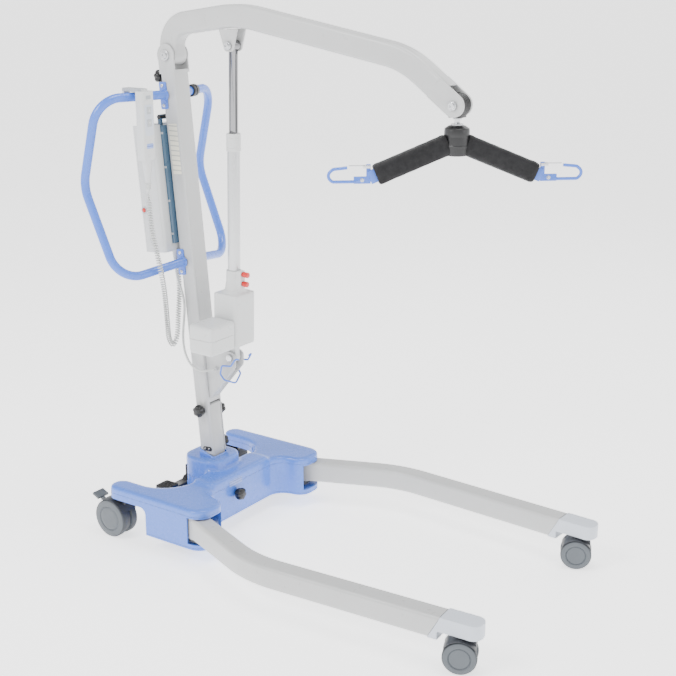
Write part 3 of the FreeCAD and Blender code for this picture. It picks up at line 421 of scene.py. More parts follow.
def bent_line(points, radii, step=4):
    """Points along straight runs with a tangent arc at each corner, in millimetres."""
    line = [points[0]]
    for before, here, after, radius in zip(points, points[1:], points[2:], radii[1:]):
        come, leave = (here - before).normalized(), (after - here).normalized()
        turn = come.angle(leave)
        reach = radius * math.tan(turn / 2)
        start = here - come * reach
        inwards = (leave - come * leave.dot(come)).normalized()
        centre = start + inwards * radius
        count = max(6, int(radius * turn / step))
        for i in range(count + 1):
            angle = turn * i / count
            line.append(centre + (come * math.sin(angle) - inwards * math.cos(angle)) * radius)
    return line + [points[-1]]


def swept(bm, line, radius, segments):
    """A round bar along a line of points, closed at both ends, in millimetres."""
    side = (line[1] - line[0]).orthogonal().normalized()
    rings = []
    for i, point in enumerate(line):
        ahead = (line[min(i + 1, len(line) - 1)] - line[max(i - 1, 0)]).normalized()
        side = (side - ahead * side.dot(ahead)).normalized()
        up = ahead.cross(side)
        rings.append([bm.verts.new((point + (side * math.cos(a) + up * math.sin(a)) * radius) * MM)
                      for a in (2 * math.pi * k / segments for k in range(segments))])
    for first, second in zip(rings, rings[1:]):
        for k in range(segments):
            m = (k + 1) % segments
            bm.faces.new((first[k], first[m], second[m], second[k]))
    bm.faces.new(rings[0])
    bm.faces.new(rings[-1])


def lathe(name, profile, origin, axis, body, material, stands_for=(), segments=48, sharp=32):
    mesh = mesh_from(lambda bm: turned(bm, profile, origin, axis.normalized(), segments), name)
    return put(name, mesh, body, material, stands_for, sharp)


# ---------------------------------------------------------------- repeated shapes

def row_tree():
    """A tree that copies a small shape along a straight row, as real geometry."""
    tree = bpy.data.node_groups.new("shapes_in_a_row", "GeometryNodeTree")
    tree.interface.new_socket("Geometry", in_out="OUTPUT", socket_type="NodeSocketGeometry")
    kinds = {"Shape": "Object", "Material": "Material", "Centre": "Vector", "Count": "Int", "Step": "Vector"}
    for label, kind in kinds.items():
        tree.interface.new_socket(label, in_out="INPUT", socket_type="NodeSocket" + kind)
    given = tree.nodes.new("NodeGroupInput")
    points = tree.nodes.new("GeometryNodeMeshLine")
    shape = tree.nodes.new("GeometryNodeObjectInfo")
    copy = tree.nodes.new("GeometryNodeInstanceOnPoints")
    move = tree.nodes.new("GeometryNodeTransform")
    real = tree.nodes.new("GeometryNodeRealizeInstances")
    dress = tree.nodes.new("GeometryNodeSetMaterial")
    result = tree.nodes.new("NodeGroupOutput")
    link = tree.links.new
    link(given.outputs["Count"], points.inputs["Count"])
    link(given.outputs["Step"], points.inputs["Offset"])
    link(given.outputs["Shape"], shape.inputs["Object"])
    link(points.outputs["Mesh"], copy.inputs["Points"])
    link(shape.outputs["Geometry"], copy.inputs["Instance"])
    link(copy.outputs["Instances"], move.inputs["Geometry"])
    link(given.outputs["Centre"], move.inputs["Translation"])
    link(move.outputs["Geometry"], real.inputs["Geometry"])
    link(real.outputs["Geometry"], dress.inputs["Geometry"])
    link(given.outputs["Material"], dress.inputs["Material"])
    link(dress.outputs["Geometry"], result.inputs["Geometry"])
    return tree


ROW = row_tree()


def repeated(name, shape, body, material, count, step, start):
    """One mesh of a row of copies, riding on its body. The first copy is at the start."""
    source = bpy.data.objects.new("source", shape)
    holder = bpy.data.objects.new("copies", bpy.data.meshes.new("copies"))
    for obj in (source, holder):
        bpy.context.scene.collection.objects.link(obj)
    modifier = holder.modifiers.new("copies", "NODES")
    modifier.node_group = ROW
    values = {"Shape": source, "Material": M[material], "Count": count, "Step": tuple(step),
              "Centre": tuple(start)}
    for socket in ROW.interface.items_tree:
        if socket.in_out == "INPUT":
            modifier[socket.identifier] = values[socket.name]
    made = bpy.data.meshes.new_from_object(holder.evaluated_get(bpy.context.evaluated_depsgraph_get()))
    holder.modifiers.remove(modifier)
    for obj in (source, holder):
        bpy.data.objects.remove(obj)
    return put(name, made, body, material)


def screw_shape(radius, axis=Z):
    """A button-head screw with a round socket, its head pointing along the axis."""
    height = radius * 0.55
    def build(bm):
        turned(bm, [(0, -0.5), (radius, -0.5), (radius, 0.2 * height), (radius * 0.92, 0.62 * height),
                    (radius * 0.66, 0.95 * height), (radius * 0.46, height), (radius * 0.42, height * 0.9),
                    (radius * 0.40, height * 0.25), (0, height * 0.2)], Vector(), axis, 24)
    return mesh_from(build, "screw")


def rib_shape(length, radius):
    """A rounded rib along X."""
    def build(bm):
        half = length / 2
        turned(bm, [(0, -half), (radius * 0.6, -half + 0.2), (radius, -half + 1), (radius, half - 1),
                    (radius * 0.6, half - 0.2), (0, half)], Vector(), X, 14)
    return mesh_from(build, "rib")


# ---------------------------------------------------------------- cords

def spline(name, points, bevel, steps):
    """An open NURBS spline through its control points, in millimetres."""
    curve = bpy.data.curves.new(name, "CURVE")
    curve.dimensions = "3D"
    line = curve.splines.new("NURBS")
    line.points.add(len(points) - 1)
    for point, place in zip(line.points, points):
        point.co = (*(place * MM), 1)
    line.order_u = 3
    line.use_endpoint_u = True
    line.resolution_u = steps
    curve.resolution_u = steps
    curve.bevel_depth = bevel * MM
    curve.bevel_resolution = 3
    curve.use_fill_caps = True
    return curve


def route_points(route):
    """Closely spaced points along the route's own smooth line, in millimetres."""
    obj = bpy.data.objects.new("route", spline("route", route, 0, 24))
    bpy.context.scene.collection.objects.link(obj)
    mesh = bpy.data.meshes.new_from_object(obj)
    points = [v.co / MM for v in mesh.vertices]
    bpy.data.objects.remove(obj)
    return points


def curly(route, coil_radius, turns, per_turn, straight):
    """The helix of a curly cord round its route, running out straight at both ends."""
    points = route_points(route)
    reach = [0.0]
    for a, b in zip(points, points[1:]):
        reach.append(reach[-1] + (b - a).length)
    total = reach[-1]
    steps = turns * per_turn
    helix = []
    side = None
    spot = 0
    for step in range(steps + 1):
        along = total * step / steps
        while spot < len(reach) - 2 and reach[spot + 1] < along:
            spot += 1
        part = (along - reach[spot]) / (reach[spot + 1] - reach[spot])
        centre = points[spot].lerp(points[spot + 1], part)
        ahead = (points[spot + 1] - points[spot]).normalized()
        side = (ahead.orthogonal() if side is None else side - ahead * side.dot(ahead)).normalized()
        angle = 2 * math.pi * step / per_turn
        swell = min(1.0, along / straight, (total - along) / straight)
        swell = swell * swell * (3 - 2 * swell)
        round_off = side * math.cos(angle) + ahead.cross(side) * math.sin(angle)
        helix.append(centre + round_off * coil_radius * swell)
    return helix


def cord(name, points, diameter, steps, node):
    obj = bpy.data.objects.new(name, spline(name, points, diameter / 2, steps))
    bpy.context.scene.collection.objects.link(obj)
    obj.data.materials.append(M["cord_white"])
    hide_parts(node)
    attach(obj, "mast")


HANDSET_ROUTE = [Vector(p) for p in (
    (-456, -115, 882), (-455, -116, 840), (-447, -119, 788), (-433, -120, 738), (-421, -118, 684),
    (-422, -108, 628), (-428, -98, 576), (-434, -89, 530), (-440, -80, 500), (-439, -70, 482),
    (-440, -56, 484), (-440, -46, 510), (-443, -40, 546), (-449, -26, 592), (-456, -16, 638),
    (-465, -11, 684), (-469, -10, 711))]
CABLE_ROUTE = [Vector(p) for p in (
    (-456, -27, 690), (-454, -30, 668), (-441, -34, 640), (-428, -35, 612), (-424, -34, 580),
    (-428, -33, 548), (-433, -33, 515), (-432, -36, 481), (-421, -40, 448), (-400, -41, 423),
    (-370, -38, 414), (-347, -34, 421), (-334, -30, 425))]

cord("handset_curly_cord", curly(HANDSET_ROUTE, 5.7, 104, 12, 34), 3.0, 2, "handset_cord")
cord("actuator_power_cable", CABLE_ROUTE, 6, 12, "actuator_cable")


# ---------------------------------------------------------------- base

COVER_FLOOR = 38
TRAY_TOP = 48
POD_TOP, BEAM_TOP, TURRET_TOP = 141, 150, 178


def mirrored(corners):
    """The left half of an outline, from the corners of its right half."""
    return [(x, -y, r) for x, y, r in reversed(corners)]


def base_cover():
    """One soft moulding of pods, arms, cross beam and turret, hollow below, with a tray under each leg."""
    half = [(-276, -150, 45), (-197, -164, 34), (-197, -254, 40), (-514, -256, 27), (-514, -200, 27),
            (-345, -200, 95)]
    pods = rounded(half + mirrored(half), 10)
    turret = rounded([(-314, -60, 42), (-438, -60, 42), (-438, 60, 42), (-314, 60, 42)], 10)
    beam = rounded([(-276, -120, 20), (-345, -120, 20), (-345, 120, 20), (-276, 120, 20)], 6)

    def outer(bm):
        for outline, top in ((pods, POD_TOP), (turret, TURRET_TOP), (beam, BEAM_TOP)):
            prism(bm, outline, COVER_FLOOR - 24, top + 1.5)
    mesh = melted(mesh_from(outer), 3.2, 24)

    rear = [(-506, -250.6, 21), (-506, -208, 19), (-337, -208, 103)]

    def inner(bm):
        hollow = [(-284, -157, 53), (-206, -171, 26), (-206, -250.6, 24)] + rear
        prism(bm, rounded(hollow + mirrored(hollow), 8), TRAY_TOP, POD_TOP - 9)

    def underside(bm):
        opening = [(-284, -157, 12), (-262, -171, 8), (-262, -250.6, 8)] + rear
        prism(bm, rounded(opening + mirrored(opening), 8), COVER_FLOOR - 40, TRAY_TOP + 1)

    def floor(bm):
        block(bm, (-600, -340, -40), (-100, 340, COVER_FLOOR))

    def arches(bm):
        for side in (RIGHT, LEFT):
            outline = rounded([(-570, -60, 4), (-382, -60, 4), (-382, 110, 18), (-570, 110, 4)], 10)
            place = Matrix(((1, 0, 0, 0), (0, 0, -1, side * 228 * MM + 50 * MM), (0, 1, 0, 0), (0, 0, 0, 1)))
            prism(bm, outline, 0, 100, place)

    def slots(bm):
        for side in (RIGHT, LEFT):
            block(bm, (-245, side * 237 - 65, 52), (-165, side * 237 + 65, 121))
            block(bm, (-436, side * 48 - 5, 107), (-421, side * 48 + 5, 151))

    mast_turn = Quaternion(Y, -MAST_LEAN).to_matrix().to_4x4()
    mast_turn.translation = MAST_FOOT

    def mast_hole(bm):
        prism(bm, [(-23, -28), (23, -28), (23, 28), (-23, 28)], -60, 40, mast_turn)
    mesh = carved(mesh, *(mesh_from(build) for build in (floor, inner, underside, arches, slots, mast_hole)))
    put("base_cover_shell", mesh, "base", "blue_cover", stands_for=("base_cover",), sharp=42)


def mast_collar():
    """Raised rim of the turret round the mast, higher behind than in front."""
    wide, deep = 30.4, 27.5
    outer = rounded([(-deep, -wide, 9), (deep, -wide, 9), (deep, wide, 9), (-deep, wide, 9)], 8)
    inner = rounded([(-23, -27.8, 5), (23, -27.8, 5), (23, 27.8, 5), (-23, 27.8, 5)], 8)

    def build(bm):
        def ring(outline, level, slant):
            made = []
            for p in outline:
                spot = MAST_FOOT + (MAST_FRONT * p.x + Y * p.y) * MM
                spot.z = (level - slant * p.x / deep) * MM
                made.append(bm.verts.new(spot))
            return made
        rings = [ring(inner, 165, 0), ring(outer, 165, 0), ring(outer, 187.5, 9), ring(inner, 189.5, 9.5)]
        for first, second in zip(rings, rings[1:] + rings[:1]):
            for i in range(len(first)):
                j = (i + 1) % len(first)
                bm.faces.new((first[i], first[j], second[j], second[i]))
    mesh = evaluated(mesh_from(build), ("BEVEL", {"width": 0.9 * MM, "segments": 3, "limit_method": "ANGLE"}))
    put("mast_collar", mesh, "base", "blue_cover")


def slot_inserts():
    """Black inserts in the turret's two rear slots."""
    for label, side in SIDES.items():
        def build(bm):
            block(bm, (-425.5, side * 46 - 6.5, 107.2), (-419, side * 46 + 6.5, 150.8))
        put(label + "_turret_insert", mesh_from(build), "base", "black_plastic")


base_cover()
mast_collar()
slot_inserts()
for node in ("base_frame", "leg_pivot_bolts"):
    skin(node, 0.5)
plate("base_plate", at(-276.6, -27, 129), Y, Z, (50, 15), 2.5, 1.0, "base", "small_label")


def legs():
    for label in SIDES:
        skin(label + "_leg_tube", sharp=40)
        moulding(label + "_leg_cap", 1.5, 6)


legs()


# ---------------------------------------------------------------- pedal and knobs

def pedal():
    skin("spread_pedal", 1.0)
    for label, side in SIDES.items():
        repeated(label + "_pedal_ribs", rib_shape(38, 1.2), "pedal", "black_plastic", 8,
                 Y * 5 * MM, at(-468, side * 80 - 17.5, 93))


def lobed_knob(node, foot, axis, shank):
    """A six-lobed grip on its threaded shank, with a plug in the crown. The foot is where the grip starts."""
    radius, lobes = 16.5, 6
    across = axis.orthogonal().normalized()
    other = axis.cross(across)
    rings = [(0.42, 0, 0.0), (0.70, 0.0, 0.2), (0.80, 0.6, 0.5), (0.93, 4.2, 1.0), (0.985, 6.2, 1.0),
             (1.0, 9, 1.0), (0.995, 12.5, 1.0), (0.965, 15.2, 1.0), (0.88, 17.4, 0.85), (0.72, 18.9, 0.45),
             (0.50, 19.8, 0.1), (0.47, 19.5, 0.0), (0.44, 19.9, 0.0), (0.30, 20.2, 0.0)]

    def build(bm):
        made = []
        for scale, height, depth in rings:
            ring = []
            for i in range(96):
                angle = 2 * math.pi * i / 96
                dip = (0.5 - 0.5 * math.cos(lobes * angle)) ** 1.6
                reach = radius * scale * (1 - 0.20 * depth * dip)
                ring.append(bm.verts.new(foot + (axis * height + (across * math.cos(angle)
                                                                + other * math.sin(angle)) * reach) * MM))
            made.append(ring)
        for first, second in zip(made, made[1:]):
            for i in range(96):
                j = (i + 1) % 96
                bm.faces.new((first[i], first[j], second[j], second[i]))
        bm.faces.new(made[-1])
        bm.faces.new(made[0])
        turned(bm, [(0, -shank), (4.4, -shank), (4.9, -shank + 0.6), (4.9, 0.1), (0, 0.1)], foot, axis, 24)
    put(node + "_lobed", mesh_from(build), BODY_OF[node], "black_plastic", (node,), 45)


def knobs():
    lobed_knob("front_knob", at(-270, -27, 99), X, 44)
    lobed_knob("right_clamp_knob", on_mast(0, -31, 121), -Y, 6.6)
    lobed_knob("left_clamp_knob", on_mast(0, 31, 107), Y, 6.6)
    lobed_knob("foot_clamp_knob", on_mast(0, 31, 17), Y, 6.6)
    lobed_knob("top_knob", on_mast(-40, 0, 972), -MAST_FRONT, 20.6)


pedal()
knobs()


# ---------------------------------------------------------------- casters

def wheel(name, body, hub, axis, radius, width, outward):
    """A wheel with a capped hub, a ring groove and a rounded tread. Outward is the sign of its seen face."""
    r, w = radius, width

    def face(scale, depth):
        return (r * scale, w / 2 - depth)
    seen = [face(0, 0.5), face(0.2, 0.5), face(0.45, 0.7), face(0.58, 0.9), face(0.60, 1.5), face(0.615, 0.5),
            face(0.63, 0.35), face(0.64, 1.0), face(0.655, 1.0), face(0.665, 0.3), face(0.80, 0.25),
            face(0.86, 0.8), face(0.90, 1.1), face(0.94, 1.5)]
    tread = [(r - 1.2, w / 2 - 2.4), (r - 0.25, w / 2 - 4.2), (r, w / 2 - 6.4), (r, -w / 2 + 4.6),
             (r - 0.5, -w / 2 + 2.4), (r - 2.4, -w / 2 + 0.5)]
    back = [(r * 0.9, -w / 2), (r * 0.3, -w / 2), (4.05, -w / 2 + 0.4), (4.05, w / 2 - 1.6), (0, w / 2 - 1.6)]
    profile = [(a, b * outward) for a, b in seen + tread + back]
    mesh = mesh_from(lambda bm: turned(bm, profile, hub, axis, 72), name)
    mesh.materials.append(M["wheel_grey"])
    mesh.materials.append(M["tread"])
    for polygon in mesh.polygons:
        middle = polygon.center - hub
        out = (middle - axis * middle.dot(axis)).length / MM
        polygon.material_index = 1 if out > r * 0.93 else 0
    return put(name + "_turned", mesh, body, "wheel_grey", (name,), 30)


def hood(name, body, hub, axis, ahead, radius, reach, angles, wall=1.6):
    """A thin guard that arches over both wheels, from one angle to another behind the stem."""
    def build(bm):
        steps = 22
        loops = []
        for i in range(steps + 1):
            angle = math.radians(angles[0] + (angles[1] - angles[0]) * i / steps)
            out = ahead * math.cos(angle) + Z * math.sin(angle)
            loop = []
            half = reach * (1 - 0.10 * abs(2 * i / steps - 1) ** 3)
            for depth, side in ((radius, -1), (radius, 1), (radius + wall * 0.7, 1.02), (radius + wall, 0.93),
                                (radius + wall, -0.93), (radius + wall * 0.7, -1.02)):
                loop.append(bm.verts.new(hub + (out * depth + axis * side * half) * MM))
            loops.append(loop)
        for first, second in zip(loops, loops[1:]):
            for k in range(6):
                m = (k + 1) % 6
                bm.faces.new((first[k], first[m], second[m], second[k]))
        bm.faces.new(loops[0])
        bm.faces.new(loops[-1])
    put(name, mesh_from(build, name), body, "dark_plastic", sharp=50)


def casters():
    rows = (("front", 564, 287, 24, 37.5, 18, 22), ("rear", -484, 230, 0, 50, 20, 25))
    for end, x, y, swing, radius, width, trail in rows:
        turn = math.radians(swing)
        ahead = Vector((math.cos(turn), math.sin(turn), 0))
        axle = Vector((-math.sin(turn), math.cos(turn), 0))
        for label, side in SIDES.items():
            name = "%s_%s" % (end, label)
            hub = at(x, side * y, radius) - ahead * trail * MM
            body = name + "_caster"
            skin(name + "_caster_fork", 0.8, "dark_plastic", 40)
            if end == "rear":
                hood(name + "_hood", body, hub, axle, ahead, radius + 1.6, 26.5, (28, 126))
                skin(name + "_brake_lever", 1.1, "wheel_grey")
            else:
                hood(name + "_hood", body, hub, axle, ahead, radius + 1.2, 24.5, (30, 150), 1.2)
            for spot, out in SIDES.items():
                node = "%s_%s_wheel" % (name, spot)
                middle = hub + axle * out * (7.5 + width / 2) * MM
                wheel(node, node, middle, axle, radius, width, out)


casters()


# ---------------------------------------------------------------- mast and handles

def mast():
    skin("mast_tube", 0.5, sharp=38)
    skin("mast_post", 0.8)
    skin("mast_bolts", 0.6, sharp=40)
    for label, side in SIDES.items():
        spot = on_mast(0, side * 32, 1022)
        nut = [(0, 0), (12.2, 0), (12.2, 1.2), (9.2, 1.4), (8.8, 4.4), (7.6, 5.4), (3.4, 5.4), (3.0, 3.2),
               (0, 3.0)]
        lathe(label + "_pivot_nut", nut, spot - Y * side * 1.2 * MM, Y * side, "mast", "zinc_steel",
              segments=36)
    # A plain data plate on the right face, below the upper handle bracket.
    plate("mast_plate", on_mast(0, -27, 795), MAST_FRONT, MAST_UP, (27, 124), 2, 0.45, "mast", "mast_label",
          0.15)
    # A dark oval port with its two locating pins, just above the turret.
    port = rounded([(-15, -6.4, 6.3), (15, -6.4, 6.3), (15, 6.4, 6.3), (-15, 6.4, 6.3)])
    place = Matrix((MAST_FRONT, MAST_UP, -Y)).transposed().to_4x4()
    place.translation = on_mast(4, -27, 14)
    put("foot_port", mesh_from(lambda bm: prism(bm, port, -1, 0.35, place)), "mast", "black_plastic")
    for label, x in (("rear", -3), ("front", 10)):
        pin = [(0, 0), (3.4, 0), (3.4, 1.6), (2.6, 2.2), (0, 2.4)]
        lathe(label + "_foot_pin", pin, on_mast(x, -27.2, 14), -Y, "mast", "chrome", segments=24)


def handle_tube(label, side):
    """The bent tube of one push handle, from the upper bracket round to the lower one."""
    corners = [(-468, 31, 1108), (-522, 208, 1108), (-577, 212, 896), (-480, 206, 668), (-427, 31, 694)]
    points = [Vector((x, side * y, z)) for x, y, z in corners]
    mesh = mesh_from(lambda bm: swept(bm, bent_line(points, [0, 68, 95, 68, 0]), 11, 40))
    node = label + "_handle"
    put(node + "_tube", mesh, "mast", "blue_paint", (node,), 60)


def handle_bracket(name, side, along, foot):
    """A bracket plate on the mast, with two screws and the weld round the tube's foot."""
    outline = rounded([(-28, -33, 4), (-6, -33, 4), (-6, 33, 4), (-28, 33, 4)])
    place = Matrix((MAST_FRONT, MAST_UP, -Y)).transposed().to_4x4()
    place.translation = on_mast(0, side * 29.1, along)
    mesh = mesh_from(lambda bm: prism(bm, outline, -1.8, 1.8, place))
    mesh = evaluated(mesh, ("BEVEL", {"width": 0.6 * MM, "segments": 2, "limit_method": "ANGLE"}))
    put(name + "_bracket", mesh, "mast", "blue_paint")
    weld = [(10.6, 0), (14, 0), (13.4, 1.2), (11.8, 2.6), (10.9, 4.6), (10.6, 0)]
    lathe(name + "_weld", weld, at(*foot), Y * side, "mast", "blue_paint", segments=36)
    repeated(name + "_bracket_screws", screw_shape(4.6, Y * side), "mast", "zinc_steel", 2,
             MAST_UP * 48 * MM, on_mast(-17, side * 30.9, along) - MAST_UP * 24 * MM)


def cord_clip():
    """A black clip for the handset's cord, on the left handle."""
    profile = [(11.2, -15), (14.4, -15), (15.6, -13), (15.6, -3), (13.2, -2), (13.2, 2), (15.6, 3),
               (15.6, 13), (14.4, 15), (11.2, 15), (11.2, -15)]
    axis = Vector((-54, 177, 0)).normalized()
    lathe("cord_clip", profile, at(-487, 93, 1108), axis, "mast", "black_plastic")


def handles():
    for label, side in SIDES.items():
        handle_tube(label, side)
        handle_bracket(label + "_upper", side, 926, (-468, side * 30.7, 1108))
        handle_bracket(label + "_lower", side, 511, (-427, side * 30.7, 694))
    cord_clip()


mast()
handles()


# ---------------------------------------------------------------- control box, battery, handset

def case_side(label, side):
    """A comb of short ribs, a panel with a dark slot, and the battery's bands, on one side of the case."""
    facing = MAST_FRONT * -side
    repeated(label + "_case_ribs", rib_shape(11, 0.9), "mast", "white_plastic", 58,
             MAST_UP * 4.6 * MM, on_mast(-74, side * 68, 560))
    plate(label + "_case_slot", on_mast(-45, side * 68, 640), facing, MAST_UP, (3.2, 96), 1.5, 0.3, "mast",
          "clip_grey", 0.1)
    plate(label + "_case_panel", on_mast(-46, side * 67.6, 690), facing, MAST_UP, (22, 270), 4, 0.9, "mast",
          "white_plastic")
    for number, along in enumerate((585, 668, 752, 836)):
        plate("%s_battery_band_%d" % (label, number), on_mast(-27.5, side * 40, along), facing, MAST_UP,
              (8.6, 5), 1, 0.5, "battery", "clip_grey", 0.15)


def carer_panel():
    """The panel on the back of the case: dark charge window, three lamps, two keys and the case screws."""
    back = on_mast(-100, 0, 790)
    raised = back - MAST_FRONT * 0.8 * MM
    plate("case_panel", back, -Y, MAST_UP, (92, 96), 6, 0.8, "mast", "clip_grey")
    plate("charge_window", raised + MAST_UP * 24 * MM, -Y, MAST_UP, (52, 24), 3, 0.5, "mast", "window")
    repeated("charge_lamps", screw_shape(2.4, -MAST_FRONT), "mast", "lamp_green", 3,
             Y * 14 * MM, back - Y * 14 * MM - MAST_FRONT * 0.7 * MM)
    for label, side in SIDES.items():
        plate(label + "_case_key", raised + Y * side * 18 * MM - MAST_UP * 26 * MM, -Y, MAST_UP, (22, 18), 4,
              1.2, "mast", "key_grey", 0.5)
    repeated("case_screws", screw_shape(3.2, -MAST_FRONT), "mast", "zinc_steel", 2,
             Y * 104 * MM, on_mast(-99.8, -52, 560))


def battery_grip():
    """The black carrying grip over the battery."""
    profile = [(0, -31), (4.6, -31), (5.8, -29.6), (5.9, -18), (6.3, 0), (5.9, 18), (5.8, 29.6), (4.6, 31),
               (0, 31)]
    mesh = mesh_from(lambda bm: turned(bm, profile, on_mast(-41, 0, 874.5), Y, 24))
    put("battery_grip", mesh, "battery", "black_plastic")


def emergency_stop():
    """The domed red cap of the emergency stop in a pale collar."""
    stop = on_mast(-87, -68, 648)
    cap = [(0, -5), (5.1, -5), (5.1, 3.0), (4.5, 3.8), (2.4, 4.3), (0, 4.4)]
    lathe("emergency_stop_cap", cap, stop, -Y, "emergency_stop", "red_plastic", ("emergency_stop",), 36)
    collar = [(5.6, -0.4), (9.5, -0.4), (9.5, 0.9), (8.8, 1.5), (6.3, 1.5), (5.6, 1.1), (5.6, -0.4)]
    lathe("stop_collar", collar, stop, -Y, "mast", "key_grey", segments=40)


def control_box():
    skin("control_box", 1.4, sharp=38)
    skin("battery", 1.2)
    for label, side in SIDES.items():
        case_side(label, side)
    carer_panel()
    battery_grip()
    emergency_stop()


def handset():
    skin("handset", 1.0, sharp=40)
    front = at(-443, -115, 1024)
    plate("handset_face", front + Z * 32 * MM, Y, Z, (29, 74), 5, 0.4, "mast", "cap_plastic", 0.2)
    plate("handset_badge", front - Z * 30 * MM, Y, Z, (22, 12), 2, 0.4, "mast", "small_label", 0.15)
    plate("handset_lip", front + Z * 86 * MM, Y, Z, (17, 9), 2, 0.4, "mast", "clip_grey", 0.2)
    for label, level in (("up", 1070), ("down", 1040)):
        node = label + "_button"
        skin(node, 0.4)
        pointing = 1 if label == "up" else -1
        low, high = level + 9 - 3 * pointing, level + 9 + 3 * pointing

        def arrow(bm):
            place = Matrix(((0, 0, 1, -440.7 * MM), (1, 0, 0, -115 * MM), (0, 1, 0, 0), (0, 0, 0, 1)))
            prism(bm, [(-4, low), (4, low), (0, high)], 0, 0.5, place)
        put(label + "_arrow", mesh_from(arrow), node, "white_plastic")
    # Grey clip that hangs the handset on the handle.
    def clip(bm):
        outline = rounded([(-518.4, 1121.2, 3), (-455, 1121.2, 3), (-455, 1130, 4), (-518.4, 1130, 4)])
        place = Matrix(((1, 0, 0, 0), (0, 0, -1, -104.6 * MM), (0, 1, 0, 0), (0, 0, 0, 1)))
        prism(bm, outline, 0, 20.8, place)
    mesh = evaluated(mesh_from(clip), ("BEVEL", {"width": 0.8 * MM, "segments": 2, "limit_method": "ANGLE"}))
    put("handset_clip", mesh, "mast", "clip_grey")
    boot = [(4.4, 0), (6.2, 0), (6.9, 1), (6.9, 3), (6.2, 4), (6.4, 6), (7.3, 7), (7.3, 9), (6.7, 10),
            (7.0, 12), (7.9, 13), (7.9, 15), (7.2, 16), (4.4, 16), (4.4, 0)]
    lathe("handset_boot_rings", boot, at(-456, -115, 888), Z, "mast", "cord_white", segments=32)


control_box()
handset()


# ---------------------------------------------------------------- boom and actuator

def bolt_head(name, centre, axis, radius, body):
    """A bolt head on its washer, with a socket in the crown."""
    r = radius
    profile = [(0, -1), (r * 1.25, -1), (r * 1.25, 0.3), (r * 1.18, 0.9), (r * 0.98, 1.0), (r * 0.96, 3.6),
               (r * 0.84, 4.6), (r * 0.42, 4.6), (r * 0.38, 2.2), (0, 2.0)]
    lathe(name, profile, centre, axis, body, "zinc_steel", segments=36)


def boom():
    skin("boom_tube", 0.5, sharp=40)
    skin("rod_clevis", 0.8)
    skin("boom_bolts", 0.5, sharp=40)
    slope = math.radians(8)
    along = Vector((math.cos(slope), 0, math.sin(slope)))
    above = Vector((-math.sin(slope), 0, math.cos(slope)))
    for label, side in SIDES.items():
        plate(label + "_boom_panel", at(-393, side * 21, 1284.5), along * -side, above, (108, 29), 8, 0.5,
              "boom", "grey_paint", 0.25)
        bolt_head(label + "_clevis_bolt", at(-272, side * 24, 1231), Y * side, 8, "boom")
        bolt_head(label + "_tip_bolt", TIP + Y * side * 26 * MM, Y * side, 8, "boom")


def neck_and_collar():
    """The gearbox's turned neck and the grooved collar at the mouth of the tube."""
    neck = [(15.7, 545), (18.8, 545), (19.6, 546), (19.6, 581), (20.6, 588), (24, 594), (31, 599), (33, 603),
            (15.7, 603), (15.7, 545)]
    lathe("neck_sleeve", neck, CLEVIS, ACTUATOR_DOWN, "actuator", "white_plastic")
    collar = [(11.5, 0), (16.2, 0), (17.6, 1.4), (17.9, 8), (17.2, 8.8), (17.2, 10.2), (17.9, 11),
              (17.9, 32), (17.2, 32.8), (17.2, 34.2), (17.9, 35), (17.9, 42), (17.2, 43), (15.6, 43),
              (15.6, 8), (11.5, 8), (11.5, 0)]
    lathe("tube_collar_turned", collar, on_actuator(0, 0, 206), ACTUATOR_DOWN, "actuator", "white_plastic",
          ("tube_collar",))


def housing_screws(spot, x):
    """Cover screws under the motor and on the gearbox's left side."""
    repeated("motor_screws_" + spot, screw_shape(3.6, -Z), "actuator", "zinc_steel", 2,
             Y * -66 * MM, on_actuator(x, -54, 734))
    repeated("gearbox_screws_" + spot, screw_shape(3.6, Y), "actuator", "zinc_steel", 2,
             -ACTUATOR_DOWN * 96 * MM, on_actuator(x, 39.6, 718))


def ribbed_knob(node, down, reach):
    """A red knob on the neck, ribbed for grip."""
    tip = reach - 4
    profile = [(0, -3), (5.1, -3), (5.1, 4), (6.6, 4), (7.0, 4.6)]
    for step in range(4):
        low = 6.0 + step * 2.4
        profile += [(7.0, low), (6.5, low + 0.6), (6.5, low + 1.1), (7.0, low + 1.7)]
    profile += [(7.0, tip - 1.4), (6.2, tip - 0.3), (4.8, tip), (0, tip + 0.1)]
    lathe(node + "_ribbed", profile, on_actuator(27.5, 0, down), ACTUATOR_FRONT, BODY_OF[node], "red_plastic",
          (node,), 40)


def actuator():
    skin("actuator_rod", sharp=45)
    skin("actuator_tube", 0.4, "tube_finish")
    neck_and_collar()
    moulding("gearbox_housing", 1.7, 24, "white_plastic")
    moulding("motor_cover", 1.9, 22, "motor_plastic")
    housing_screws("rear", -26)
    housing_screws("front", 26)
    ribbed_knob("lowering_knob", 552, 22)
    ribbed_knob("release_knob", 576, 20)


boom()
actuator()
skin("actuator_bracket", 0.7)
skin("sling_hook", sharp=60)


# ---------------------------------------------------------------- spreader

def hanger():
    """Black moulded cheek block with ribs round its rim, the swivel stem and its washers."""
    skin("hanger_block", 1.4)
    skin("swivel_stem", 0.5)
    rim = []
    for step in range(5):
        low = -13 + step * 5.6
        rim += [(23.6, low), (25.0, low + 0.8), (25.0, low + 2.8), (23.6, low + 3.6)]
    lathe("hanger_ribs", [(18, -13)] + rim + [(18, 13)] + [(18, -13)], TIP, Y, "hanger", "black_plastic",
          segments=64)
    lathe("stem_washer", [(6.1, 0), (13, 0), (13.6, 0.5), (13.6, 2.2), (13, 2.7), (6.1, 2.7), (6.1, 0)],
          at(336, 0, 1087.2), Z, "hanger", "zinc_steel", segments=40)


